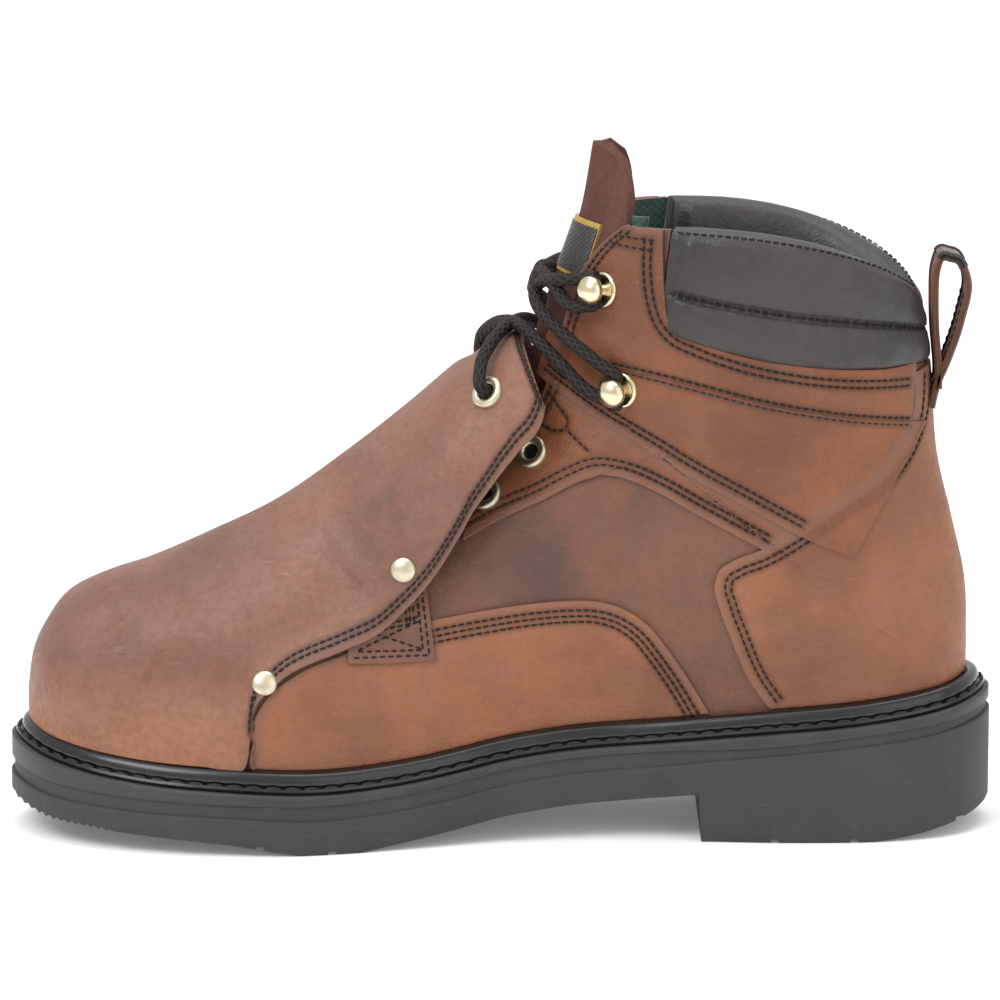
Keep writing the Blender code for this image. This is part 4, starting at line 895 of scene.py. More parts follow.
def sole():
    """Tread with grooves and slots, band, midsole and insole."""
    levels = (
        (TREAD_CHAMFER, toothed_bottom),
        (TREAD_CHAMFER * 0.3, lambda x: toothed_bottom(x) + 0.3 * TREAD_CHAMFER),
        (0.0, lambda x: toothed_bottom(x) + TREAD_CHAMFER),
        (0.0, lambda x: band_bottom(x) - 0.0005),
        (0.0004, band_bottom),
        (BAND_RECESS, lambda x: band_bottom(x) + GAP),
        (BAND_RECESS, lambda x: (band_bottom(x) + band_top(x)) / 2),
        (BAND_RECESS, band_top),
    )
    tread = plate("tread_detail", levels, TREAD_RUBBER)
    bm = bmesh.new()
    for share, width, depth, end in [(s, GROOVE_WIDTH, GROOVE_DEPTH, -1.0) for s in GROOVES] + \
            [(s, SLOT_WIDTH, SLOT_DEPTH, SLOT_END) for s in SLOTS]:
        x, angle = LENGTH * (0.5 - share), math.acos(1 - 2 * share)
        low, high = -edge_reach(angle, MEDIAL) + end, edge_reach(angle, LATERAL) - end
        if end < 0:
            low, high = -BALL_WIDTH, BALL_WIDTH
        top = float(tread_bottom(x)) + depth
        made = bmesh.ops.create_cube(bm, size=1.0)
        bmesh.ops.scale(bm, vec=(width, high - low, top + TREAD), verts=made["verts"])
        bmesh.ops.translate(bm, vec=(x, (low + high) / 2, (top - TREAD) / 2), verts=made["verts"])
    mesh = bpy.data.meshes.new("tread_cutter")
    bm.to_mesh(mesh)
    bm.free()
    cutter = bpy.data.objects.new("tread_cutter", mesh)
    bpy.context.scene.collection.objects.link(cutter)
    cut = tread.modifiers.new("tread", "BOOLEAN")
    cut.operation, cut.solver, cut.object = "DIFFERENCE", "EXACT", cutter
    apply_all(tread)
    bpy.data.objects.remove(cutter)
    tread.data.set_sharp_from_angle(angle=math.radians(30))
    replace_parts(tread, "outsole")
    levels = (
        (BAND_RECESS / 2, lambda x: band_top(x) + GAP / 3),
        (BAND_RECESS / 2 - 0.0003, lambda x: band_top(x) + 0.0004),
        (BAND_RECESS / 2 - 0.0003, lambda x: sole_top(x) - EDGE_CHAMFER),
        (BAND_RECESS / 2 + 0.3 * EDGE_CHAMFER, lambda x: sole_top(x) - 0.3 * EDGE_CHAMFER),
        (BAND_RECESS / 2 + EDGE_CHAMFER, sole_top),
    )
    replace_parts(plate("midsole_band", levels, BAND_RUBBER), "midsole")
    inset = FEATHER + INNER_WALL
    levels = (
        (inset, lambda x: sole_top(x) + GAP),
        (inset, lambda x: sole_top(x) + GAP + INSOLE - 0.0006),
        (inset + 0.0006, lambda x: sole_top(x) + GAP + INSOLE),
    )
    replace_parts(plate("insole_felt_bed", levels, BOARD), "insole")


def welt():
    """Stitched ledge and the glossy bead that leans on the leather."""
    inner = FEATHER - BEAD_FIT
    outer = inner - BEAD_WIDTH
    section = (
        # moved in from the edge, height over the sole
        (WELT_EDGE + 0.0004, 0.0), (WELT_EDGE, 0.5 * WELT_LEDGE), (WELT_EDGE + 0.25 * WELT_LEDGE, WELT_LEDGE),
        (outer - 0.0002, 0.90 * WELT_LEDGE), (outer + 0.0002, WELT_LEDGE + 0.02 * BEAD_HEIGHT),
        (outer - 0.0002, 0.40 * BEAD_HEIGHT), (outer, 0.55 * BEAD_HEIGHT),
        (outer + 0.06 * BEAD_WIDTH, 0.70 * BEAD_HEIGHT), (outer + 0.18 * BEAD_WIDTH, 0.86 * BEAD_HEIGHT),
        (outer + 0.36 * BEAD_WIDTH, 0.97 * BEAD_HEIGHT),
        (outer + 0.56 * BEAD_WIDTH, BEAD_HEIGHT), (outer + 0.80 * BEAD_WIDTH, 0.96 * BEAD_HEIGHT),
        (inner + 0.0008, 0.84 * BEAD_HEIGHT), (inner, 0.0),
    )
    points = np.concatenate([ring(inset, lambda x, h=h: sole_top(x) + GAP + h) for inset, h in section])
    faces = grid_faces(len(section), 2 * len(FINE) - 2, True, True)[:, ::-1]
    thing = add_mesh("welt_bead", points, faces, WELT_RUBBER)
    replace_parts(thing, "welt")
    ledge = (WELT_EDGE + outer) / 2
    path = ring(ledge, lambda x: sole_top(x) + GAP + 0.97 * WELT_LEDGE)
    path = np.concatenate([path, path[:1]])
    out = np.tile([0.0, 0.0, 1.0], (len(path), 1))
    stitch_rows("welt_stitching", [(path, out)], WELT_PITCH, WELT_STITCH,
                WELT_STRAND, WELT_THREAD)


# Stitching
PILL = ((-1.0, 0.35), (-0.72, 0.86), (0.0, 1.0), (0.72, 0.86), (1.0, 0.35))
PILL_SIDES = 6


def stitch_rows(name, rows, pitch=STITCH_PITCH, length=STITCH, width=THREAD, finish=THREAD_FINISH):
    """Short threads along paths, half sunk, joined in one mesh. rows: (points, outward normals)."""
    points, faces = [], []
    ring_faces = grid_faces(len(PILL), PILL_SIDES, False, True)
    for path, out in rows:
        run = run_of(path)

        def value(table, place):
            return np.array([np.interp(place, run, table[:, k]) for k in range(3)])

        count = max(1, int(run[-1] / pitch))
        for place in (np.arange(count) + 0.5) * run[-1] / count:
            centre = value(path, place)
            go = unit(value(path, min(place + 0.0005, run[-1])) - value(path, max(place - 0.0005, 0.0)))
            across = unit(np.cross(go, unit(value(out, place))))
            up = np.cross(across, go)
            base = len(points)
            for step, swell in PILL:
                dip = 0.30 * width * (1 - step**2)
                for k in range(PILL_SIDES):
                    angle = 2 * math.pi * k / PILL_SIDES
                    side_shift = across * math.cos(angle) * swell * width / 2
                    lift = up * (math.sin(angle) * swell * width / 2 + dip - 0.12 * width)
                    points.append(centre + go * step * length / 2 + side_shift + lift)
            faces += (ring_faces + base).tolist()
            end = base + (len(PILL) - 1) * PILL_SIDES
            faces.append([base + k for k in range(PILL_SIDES)][::-1])
            faces.append([end + k for k in range(PILL_SIDES)])
    return add_mesh(name, points, [f[::-1] for f in faces], finish)


def beside(line, distance):
    """A line in the side view moved sideways; positive is to the left of its direction."""
    line = np.asarray(line, float)
    go = np.gradient(line, axis=0)
    go /= np.linalg.norm(go, axis=1, keepdims=True)
    return line + np.stack([-go[:, 1], go[:, 0]], axis=1) * distance


def skin_row(r, a, side, offset):
    """Points at a distance outside the last and their outward directions."""
    return on_last(r, a, side, offset), last_normal(r, a, side)


def seam(line, distance, side, offset, trim=0):
    """Path of a row of stitches beside a line of the side view, and its outward directions."""
    count = 160
    path = beside(along(np.array(line) / 1000, count), distance)[trim:count - trim]
    return skin_row(*section_at(path[:, 0], path[:, 1]), side, offset)


def seam_rows(side):
    """Points and normals of the rows of stitches on one side of the upper."""
    rows = [seam(line, distance, side, OVERLAY * lift - PRESS * 0.5, 1)
            for line, distances, lift in SEAMS for distance in distances]
    offset = OVERLAY * FACING_LIFT - PRESS * 0.5
    for inset in (0.016, 0.034):
        r = np.linspace(THROAT_START, TOP_SECTION - 0.06, 300)
        rows.append(skin_row(r, front_edge(r) - inset, side, offset))
    for drop in (0.13, 0.23):
        a = np.linspace(FACING_EDGE + 0.028, front_edge(TOP_SECTION - drop) - 0.02, 80)
        rows.append(skin_row(np.full_like(a, TOP_SECTION - drop), a, side, offset))
    return rows


def edge_paths(side):
    """Points along the cut edges of the overlays on one side."""
    r = np.linspace(THROAT_START, TOP_SECTION, 300)
    a = np.linspace(FACING_EDGE, front_edge(TOP_SECTION), 80)
    return [seam(line, 0.0, side, OVERLAY)[0] for line in EDGES] + [
        on_last(r, front_edge(r), side, OVERLAY), on_last(np.full_like(a, TOP_SECTION), a, side, OVERLAY)]


def pressed(r, a, side, offset):
    """Points outside the last, pressed in along the seams."""
    points = on_last(r, a, side, offset)
    dip = PRESS * nearness(points, SEAM_TREE[side], PRESS_SPREAD)
    return points - last_normal(r, a, side) * dip[..., None]


# The upper and its overlays
def front_edge(r):
    """Edge of the throat, with the top corner rounded."""
    return THROAT_EDGE - 0.100 * np.clip((r - 21.0) / 1.0, 0.0, 1.0)**2.4


def spread(values, most):
    """Values with evenly spaced ones added between neighbours."""
    parts = [np.linspace(low, high, max(2, math.ceil((high - low) / most) + 1))[:-1]
             for low, high in zip(values, values[1:])]
    return np.concatenate(parts + [[values[-1]]])


def throat_step(r, a):
    """Steps bent so that the throat's edge follows front_edge."""
    t = np.clip((a - FACING_EDGE) / (THROAT_EDGE - FACING_EDGE), 0.0, 1.0)
    return np.where(a > FACING_EDGE, a + (front_edge(r) - THROAT_EDGE) * t, a)


def upper():
    """Leather shell with its lining, open at the collar, the throat and underneath."""
    bands = ((0.0, 2.0, 0.10), (2.0, 9.0, 0.14), (9.0, THROAT_SECTION, 0.1),
             (THROAT_SECTION, COLLAR_SECTION, 0.09), (COLLAR_SECTION, TOP_SECTION, 0.07))
    rows = np.unique(np.concatenate([spread([low, high], most) for low, high, most in bands]))
    steps = spread([0.0, FACING_EDGE, THROAT_EDGE, 1.0], 0.0135)
    r, a = crossed(rows, steps)
    points = halves(lambda side: on_last(r, throat_step(r, a), side, 0.0))
    steps = np.concatenate([steps, steps[-2::-1]])
    middle_r, middle_a = crossed((rows[:-1] + rows[1:]) / 2, (steps[:-1] + steps[1:]) / 2)
    hole = (middle_r > THROAT_SECTION) & (middle_a > THROAT_EDGE)
    hole |= (middle_r > COLLAR_SECTION) & (middle_a < FACING_EDGE)
    faces = grid_faces(len(rows), len(steps))[:, ::-1][~hole.ravel()]
    thing = add_mesh("upper_shell", points, faces, QUARTER)
    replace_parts(thing, "upper")
    thicken(thing, WALL, LINING)


def laid(name, points, faces, finish, trees, wall=OVERLAY, edge=CUT_EDGE):
    """Sheet of leather that knows its seams and cut edges, with its wall."""
    thing = add_mesh(name, points, faces, finish)
    mark(thing, *trees)
    return thicken(thing, wall, RAW, edge)


def panel(name, low_line, high_line, side, offset, finish, rows=110, columns=44):
    """Panel between two lines of the side view, laid on the last and pressed in at its seams."""
    high = along(np.array(high_line, float) / 1000, rows)
    if callable(low_line):
        low = np.stack([high[:, 0], low_line(high[:, 0])], axis=1)
    else:
        low = along(np.array(low_line, float) / 1000, rows)
    t = np.linspace(0.0, 1.0, columns)[None, :, None]
    flat = low[:, None] + (high - low)[:, None] * t
    r, a = section_at(flat[..., 0], flat[..., 1])
    return laid(name, pressed(r, a, side, offset + OVERLAY), side_faces(rows, columns, side), finish,
                (SEAM_TREE[side], EDGE_TREE[side]))


def seam_start(height):
    """Section that starts at a height of the seam up the back."""
    low, high = float(HEEL_SECTION), float(TOP_SECTION)
    for _ in range(30):
        middle = (low + high) / 2
        low, high = (middle, high) if section_ends(np.array(middle))[1] < height else (low, middle)
    return high


def counter():
    """Heel counter in one piece round the back."""
    rows, columns = 120, 90
    front = along(np.array(COUNTER_EDGE) / 1000, rows)
    start = seam_start(float(skin_height(np.array(HALF))))
    seam_r = np.linspace(start, COLLAR_SECTION - 0.03, rows)
    x1, z1 = section_ends(seam_r)[:2]
    g = 1 - (1 - np.linspace(0.0, 1.0, columns))**1.5
    x = front[:, :1] + (x1[:, None] - front[:, :1]) * g
    z = front[:, 1:] + (z1[:, None] - front[:, 1:]) * g
    lower = skin_height(x[0])
    z += (lower - z[0])[None, :] * np.exp(-np.arange(rows) / 3.0)[:, None]
    r, a = section_at(x, z)
    r[:, -1], a[:, -1] = seam_r, 0.0
    points = halves(lambda side: pressed(r, a, side, OVERLAY))
    faces = grid_faces(rows, 2 * columns - 1)
    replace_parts(laid("counter_leather", points, faces, WARM, (BOTH_SEAMS, BOTH_EDGES)), "counter")


def facing(label, side):
    """Eyestay along the throat, from the vamp to the collar's front."""
    rows = spread([9.6, TOP_SECTION], 0.05)
    line = along(np.array(FACING_REAR) / 1000, 40)
    rear_r, rear_a = section_at(line[:, 0], line[:, 1])
    order = np.argsort(rear_r)
    known_r = np.concatenate([[9.6, 12.0, 15.0, 17.5], rear_r[order]])
    known_a = np.concatenate([[0.72, 0.70, 0.66, 0.64], rear_a[order]])
    rear = np.interp(rows, known_r, known_a)
    r, t = crossed(rows, np.linspace(0.0, 1.0, 40))
    front = (front_edge(rows) - 0.002)[:, None]
    a = rear[:, None] + (front - rear[:, None]) * t
    thing = laid("eyestay_leather_" + label, pressed(r, a, side, OVERLAY * FACING_LIFT),
                 side_faces(len(rows), 40, side), SHAFT, (SEAM_TREE[side], EDGE_TREE[side]))
    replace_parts(thing, "eyestay_" + label)


def overlays():
    for label, side in SIDES:
        wing = panel("vamp_leather_" + label, skin_height, WING_TOP, side, 0.0, WARM, 160, 50)
        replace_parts(wing, "vamp_wing_" + label)
        facing(label, side)
        panel("strap_" + label, STRAP_EDGE, STRAP_TOP, side, 0.0, SHAFT)
        panel("quarter_top_" + label, TOP_EDGE + ((112, 93),),
              ((17, 163), (26, 158)) + BAND_SEAM + ((135, 133.5),), side, OVERLAY * 0.5, SHAFT)
        panel("collar_band_" + label, BAND_SEAM, COLLAR_FOOT, side, OVERLAY * 0.3, SHAFT, 110, 24)
    counter()


# The guard
GUARD_COUNT = len(GUARD_SECTIONS)


def guard_columns():
    """Edge section, share up, reach and ridge section of each row, with the bead's rows filled in."""
    filled = []
    for edge, up, reach, ridge in GUARD_SECTIONS:
        if up is None:
            x0, z0, _, z1 = (float(v) for v in section_ends(np.array(edge)))
            up = (float(skin_height(np.array(x0))) - z0) / (z1 - z0)
        filled.append((edge, up, reach, ridge))
    return np.array(filled)


GUARD_ROWS = guard_columns()
GUARD_FOLDS = (
    (((-112, 60), (-96, 52), (-80, 57), (-60, 70), (-44, 86)), 0.0095, 0.0032, True),
    (((-104, 76), (-88, 70), (-70, 78), (-56, 92)), 0.011, -0.0020, True),
    (((-140, 52), (-124, 58), (-104, 58)), 0.010, 0.0009, False),
    (((-52, 98), (-38, 112), (-22, 128)), 0.011, 0.0012, False),
    (((-20, 112), (-12, 128), (-8, 140)), 0.007, -0.0010, True),
)


def guard_surface(u, q, side):
    """Points of the guard's outer face: u counts its rows, q runs from the free edge to the ridge."""
    u, q = np.broadcast_arrays(np.asarray(u, float), np.asarray(q, float))
    count = np.arange(GUARD_COUNT)
    edge, up, reach, ridge = (smooth(count, GUARD_ROWS[:, k], u) for k in range(4))
    a = np.arccos(1 - 2 * np.clip(up, 0.0, 1.0)) / math.pi
    offset = GUARD_GAP + GUARD_WALL
    x0, z0, x1, z1 = section_ends(ridge)
    low = np.stack([x0, np.zeros_like(x0), z0], axis=-1)
    high = np.stack([x1, np.zeros_like(x1), z1], axis=-1)
    rise = unit(high - low)
    lift = rise * (GUARD_LIFT * smooth(column(GUARD_RIDGE, 0), column(GUARD_RIDGE, 1), ridge))[..., None]
    step = a + (1 - a) * q
    close = last(edge, step, side) + last_normal(edge, step, side) * offset + lift * ease(q)[..., None]
    place = last(edge, a, side)
    foot = np.stack([place[..., 0], np.zeros_like(q), place[..., 2]], axis=-1)
    crown = high + rise * offset + lift
    turn = math.pi / 2 * q
    free = foot + (crown - foot) * np.sin(turn)[..., None]
    free[..., 1] = side * GUARD_WIDTH * reach * np.maximum(np.cos(turn), 0.0)**0.9
    t = ease((edge - FLAP_START) / (FLAP_FREE - FLAP_START))[..., None]
    points = close + (free - close) * t
    ridge_y = last(ridge, np.ones_like(ridge), MEDIAL)[..., 1]
    points[..., 1] = np.where(q > 0.9999, ridge_y, points[..., 1])
    return points


def guard_normal(u, q, side):
    u, q = np.broadcast_arrays(np.asarray(u, float), np.asarray(q, float))
    near_u, near_q = np.clip(u, 0.05, GUARD_COUNT - 1.05), np.clip(q, 0.012, 0.985)
    up = guard_surface(near_u, near_q + 0.01, side) - guard_surface(near_u, near_q - 0.01, side)
    on = guard_surface(near_u + 0.04, near_q, side) - guard_surface(near_u - 0.04, near_q, side)
    out = np.cross(up, on) * side
    out[..., 1] = np.where(q > 0.999, 0.0, out[..., 1])
    return unit(out)


def guard_place(u, q, side, offset=0.0):
    points = guard_surface(u, q, side)
    out = guard_normal(u, q, side)
    soft = ease(np.asarray(q, float) / 0.25)
    return points + out * (offset - fold_depth(points, side, GUARD_FOLDS) * soft)[..., None]


def guard_row(u, q, side):
    return guard_place(u, q, side, -PRESS * 0.4), guard_normal(u, q, side)


def guard_rows():
    """Rows of stitches along the guard's free edge and across its top."""
    rows = []
    near = 0.10
    for side in BOTH:
        u = np.linspace(9.55, GUARD_COUNT - 1.15, 260)
        rise = guard_surface(u, np.full_like(u, near), side) - guard_surface(u, np.zeros_like(u), side)
        for inset in (0.0034, 0.0034 + ROW_GAP):
            q = near * inset / np.maximum(np.linalg.norm(rise, axis=1), 1e-6)
            rows.append(guard_row(u, q, side))
        for inset in (0.28, 0.55):
            q = np.linspace(0.06, 0.97, 120)
            rows.append(guard_row(np.full_like(q, GUARD_COUNT - 1.0 - inset), q, side))
    return rows


def guard():
    """Toe cover and metatarsal flap, with rows of stitches along the free edge."""
    steps = 1 - (1 - np.linspace(0.0, 1.0, 84))**1.08
    u, q = crossed(spread([0.0, 4.0, float(GUARD_COUNT - 1)], 0.09), steps)
    rows = guard_rows()
    tree = near_tree([row[0] for row in rows])

    def half(side):
        points = guard_place(u, q, side)
        dip = PRESS * nearness(points, tree, PRESS_SPREAD)
        return points - guard_normal(u, q, side) * dip[..., None]

    edge = [guard_surface(np.linspace(8.0, GUARD_COUNT - 1.0, 300), np.zeros(300), side) for side in BOTH]
    points = halves(half)
    thing = laid("guard_leather_cover", points, grid_faces(*points.shape[:2])[:, ::-1], GUARD,
                 (tree, near_tree(edge)), GUARD_WALL, 0.0006)
    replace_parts(thing, "metatarsal_guard")
    stitch_rows("guard_stitching", rows)
    return thing


def tab(label, side):
    """Box-stitched tab under the guard's edge."""
    low = ((-48.9, 59.3), (-35, 59.2), (-20.9, 59.8))
    high = ((-48.9, 66), (-36, 74.5), (-23.7, 84))
    thing = panel("guard_tab_leather_" + label, low, high, side, OVERLAY, LIP, 24, 22)
    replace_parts(thing, "guard_tab_" + label)
    top = 2 * OVERLAY
    lines = [((-47.5, 61.0), (-23, 61.6)), ((-23, 61.6), (-25, 82)), ((-46, 62.8), (-25, 63.2)),
             ((-25, 63.2), (-26.6, 80)), ((-46, 63.0), (-26, 72)), ((-25.2, 63.5), (-43, 69)),
             ((-46, 67.5), (-25.8, 71.8)), ((-44, 69.2), (-26, 73.4)), ((-27.5, 71), (-28, 77)),
             ((-28.8, 71), (-29.2, 77)), ((-30, 71), (-30.4, 76))]
    return [seam((a, ((a[0] + b[0]) / 2, (a[1] + b[1]) / 2), b), 0.0, side, top) for a, b in lines]


def stitching():
    """Rows of stitches on the upper."""
    rows = []
    for label, side in SIDES:
        rows += SEAM_ROWS[side] + tab(label, side)
    stitch_rows("upper_stitching", rows)


# Collar, tongue and loop
COLLAR_PROFILE = (
    # up, out, in
    (0.02, 0.30, 0.00), (0.10, 0.80, 0.00), (0.22, 1.00, 0.00), (0.34, 0.85, 0.00), (0.41, 0.38, 0.00),
    (0.43, 0.25, 0.00), (0.45, 0.38, 0.00), (0.52, 0.85, 0.00), (0.66, 1.05, 0.00), (0.82, 0.95, 0.00),
    (0.93, 0.60, 0.00), (1.00, 0.15, 0.10), (1.025, 0.00, 0.32), (1.01, 0.00, 0.60), (0.96, 0.00, 0.85),
    (0.85, 0.00, 1.00), (0.62, 0.00, 1.06), (0.40, 0.00, 1.02), (0.20, 0.00, 0.92), (0.02, 0.00, 0.70),
)


def collar():
    """Padded collar: two rolls with a stitched channel between them, and soft creases."""
    t = np.linspace(0.0, 1.0, 120)
    closed = np.array(COLLAR_PROFILE + COLLAR_PROFILE[:1])
    fine = along(closed, 61)[:-1]
    end = FACING_EDGE - 0.004
    parts = []
    for side in BOTH:
        taper = np.clip((1 - t) / 0.06, 0.30, 1.0)[:, None]
        back = (0.55 + 0.45 * np.clip(t / 0.35, 0.0, 1.0))[:, None]
        offset = COLLAR_BULGE * fine[None, :, 1] * taper * back
        offset = offset - COLLAR_PAD * fine[None, :, 2] * (0.6 + 0.4 * taper)
        r = COLLAR_SECTION + fine[None, :, 0] + np.zeros_like(offset)
        a = end * t[:, None] + np.zeros_like(offset)
        base = last(r, a, side)
        creases = 0.00045 * np.sin(base[..., 0] * 520 + base[..., 2] * 260 + side)
        creases *= np.sin(base[..., 2] * 410 - base[..., 0] * 90) * np.clip(fine[None, :, 1], 0.0, 1.0)
        gather = 0.00030 * np.sin(t * 190)[:, None] * np.exp(-((fine[None, :, 0] - 0.43) / 0.05)**2)
        gather = gather * (fine[None, :, 2] == 0)
        parts.append(base + last_normal(r, a, side) * (offset + creases + gather)[..., None])
    points = np.concatenate([parts[0][::-1], parts[1][1:]])
    count = len(fine)
    faces = grid_faces(len(points), count, False, True)[:, ::-1].tolist()
    faces.append(list(range(count)))
    faces.append([(len(points) - 1) * count + k for k in range(count)][::-1])
    thing = add_mesh("collar_padding", points, faces, DARK)
    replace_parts(thing, "collar")
    rows = []
    for side in BOTH:
        a = end * np.linspace(0.03, 0.985, 300)
        for up, out in ((0.43, 0.32), (0.985, 0.22)):
            r = np.full_like(a, COLLAR_SECTION + up)
            back = 0.55 + 0.45 * np.clip(a / end / 0.35, 0.0, 1.0)
            rows.append(skin_row(r, a, side, COLLAR_BULGE * out * back + 0.0002))
    stitch_rows("collar_stitching", rows, width=THREAD * 0.9)


def tongue_point(r, a, side, lift):
    crown = ease((a - 0.90) / 0.10)
    freed = np.clip((r - THROAT_SECTION - 0.5) / 0.8, 0.0, 1.0)
    offset = -(WALL + TONGUE_GAP) + (TONGUE + WALL) * 0.9 * crown * freed + lift
    return last(r, a, side) + last_normal(r, a, side) * offset[..., None]


def tongue_sheet(name, make, finish):
    """Sheet over both sides of the tongue, its middle on the plane between them."""
    points = halves(make)
    points[:, points.shape[1] // 2, 1] = 0.0
    return add_mesh(name, points, grid_faces(*points.shape[:2])[:, ::-1], finish)


def tongue():
    """Tongue narrowing to its tip, its bare label and the gussets beside it."""
    rows = spread([8.5, 21.0, 22.97], 0.12)
    narrow = np.clip((rows - TOP_SECTION + 0.35) / 1.33, 0.0, 1.0)[:, None]
    edge = 0.79 + 0.195 * (1 - np.sqrt(1 - 0.995 * narrow**2))
    r, t = crossed(rows, np.linspace(0.0, 1.0, 26))
    a = edge + (1 - edge) * t
    wave = 0.0006 * np.sin(r * 2.1 + a * 9) * np.clip((r - 12) / 6, 0.0, 1.0)
    flap = tongue_sheet("tongue_leather_flap", lambda side: tongue_point(r, a, side, wave), SUEDE)
    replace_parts(flap, "tongue")
    thicken(flap, TONGUE * 0.9, SUEDE, 0.0009)
    for name, finish, low_r, high_r, edge_a, lift in (
            ("tongue_label", LABEL_EDGE, 21.17, 21.87, 0.903, 0.0010),
            ("tongue_label_border", LABEL, 21.10, 21.94, 0.898, 0.0006)):
        label_r, label_a = crossed(np.linspace(low_r, high_r, 12), np.linspace(edge_a, 1.0, 16))
        thicken(tongue_sheet(name, lambda side: tongue_point(label_r, label_a, side, lift), finish), 0.0012)
    for label, side, top in (("medial", MEDIAL, 22.12), ("lateral", LATERAL, 21.3)):
        r, a = crossed(np.linspace(19.0, top, 50), np.linspace(0.750, 0.803, 8))
        points = last(r, a, side) - last_normal(r, a, side) * 0.0056
        gusset = add_mesh("gusset_" + label, points, side_faces(50, 8, side), LINING)
        thicken(gusset, 0.0016, None, 0.0005)


LOOP_PATH = (
    # behind, up
    (-0.22, -0.20), (-0.12, -0.08), (0.02, 0.03), (0.18, 0.12), (0.37, 0.240), (0.71, 0.510),
    (0.91, 0.780), (0.75, 0.920), (0.34, 0.995), (-0.01, 0.975), (-0.13, 0.860), (-0.15, 0.640),
    (-0.12, 0.420), (-0.05, 0.240), (0.00, 0.100), (0.00, -0.050),
)


def strip_sides(centre):
    """Outward directions of a strip that runs along the middle plane."""
    go = unit(np.gradient(centre, axis=0))
    return np.stack([go[:, 2], np.zeros(len(go)), -go[:, 0]], axis=1)


def strip(name, centre, width, wall, finish):
    """Strap along a path in the middle plane, its long edges chamfered."""
    corner, y, o = 0.28 * wall, width / 2, wall / 2
    section = []
    for sy, so in ((-1, -1), (-1, 1), (1, 1), (1, -1)):
        ends = [(y, o - corner), (y - corner, o)]
        section += [(sy * across, so * out) for across, out in (ends if so * sy > 0 else ends[::-1])]
    sides = strip_sides(centre)
    rings = [centre + np.array([0.0, across, 0.0]) + sides * out for across, out in section]
    faces = grid_faces(len(centre), len(section), False, True).tolist()
    faces.append(list(range(len(section)))[::-1])
    faces.append([(len(centre) - 1) * len(section) + k for k in range(len(section))])
    return add_mesh(name, np.stack(rings, axis=1), faces, finish, solid=True)


def pull_loop():
    """Leather loop at the back with a bare band round its top."""
    x0, z0 = (float(v) for v in section_ends(np.array(COLLAR_SECTION - 0.25))[:2])
    x0 += 0.0015 + GAP + LOOP_WALL / 2
    path = along(LOOP_PATH, 110)
    middle = np.stack([x0 + LOOP_REACH * path[:, 0], np.zeros(110), z0 + LOOP_HEIGHT * path[:, 1]], axis=1)
    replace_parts(strip("pull_loop_leather", middle, LOOP_WIDTH, LOOP_WALL, QUARTER), "pull_loop")
    strip("pull_loop_band", middle[52:76], LOOP_WIDTH + 0.0006, LOOP_WALL + 0.0007, LABEL_EDGE)
    rows = []
    out = strip_sides(middle)
    for y in (-1, 1):
        shifted = middle + np.array([0.0, y * (LOOP_WIDTH / 2 - 0.0022), 0.0])
        rows.append(((shifted - out * LOOP_WALL / 2)[4:44], -out[4:44]))
    stitch_rows("pull_loop_stitching", rows)


# Hardware
def turned(name, section, place, out, finish, node=None, steps=40):
    """Round piece turned from a section of (radius, height), standing on a surface."""
    angles = np.linspace(0, 2 * math.pi, steps, endpoint=False)
    points = np.array([[(radius * math.cos(t), radius * math.sin(t), height) for t in angles]
                       for radius, height in section]).reshape(-1, 3)
    turn = np.array(Vector(out).to_track_quat("Z", "Y").to_matrix())
    points = points @ turn.T + np.asarray(place)
    faces = grid_faces(len(section), steps, False, True)[:, ::-1]
    thing = add_mesh(name, points, faces, finish, solid=True)
    thing.data.set_sharp_from_angle(angle=math.radians(35))
    if node:
        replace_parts(thing, node)


RIVETS = ((-0.207, 0.658), (-0.501, 0.331))
GUARD_EYELET = (-0.027, 1.172)
THROAT_EYELETS = ((0.073, 0.976), (-0.027, 0.845))
HOOKS = ((0.260, 1.191), (0.220, 1.480))


def struck(tree, place, height, side):
    """Point and outward direction where a place of the side view meets the guard."""
    x, z = HALF * place, SOLE_TOP + INSTEP_HEIGHT * height
    point, out, _, _ = tree.ray_cast(Vector((x, side * BALL_WIDTH, z)), Vector((0, -side, 0)))
    return np.array(point), np.array(out if out.y * side > 0 else -out)


def arc(radius, height, start, end, count, centre=(0.0, 0.0)):
    """Points of an arc in a turned section, angles in degrees."""
    return [(centre[0] + radius * math.cos(math.radians(t)), centre[1] + height * math.sin(math.radians(t)))
            for t in np.linspace(start, end, count)]


def eyelet(name, point, out, node):
    r = EYELET_RADIUS
    section = [(0.46 * r, -0.0012), (0.46 * r, 0.0006)]
    section += arc(0.27 * r, 0.0012, 170, 20, 8, (0.73 * r, 0.0006)) + [(r, 0.0003), (r, -0.0004)]
    turned(name, section, point, out, DULL_BRASS, node)
    # The dark disc inside the ring is painted shade: it stands for the shade in the hole, as the leather
    # under it is not cut through
    hole = [(0.0, 0.0003), (0.47 * r, 0.0003), (0.47 * r, -0.0004), (0.0, -0.0004)]
    turned(name + "_hole_shade", hole, point, out, WELT_RUBBER)


def on_side(place, height, side):
    """Point and outward direction of hardware on the upper, from its place in the side view."""
    r, a = section_at(HALF * place, SOLE_TOP + INSTEP_HEIGHT * height)
    return skin_row(r, a, side, OVERLAY * HARDWARE_LIFT)


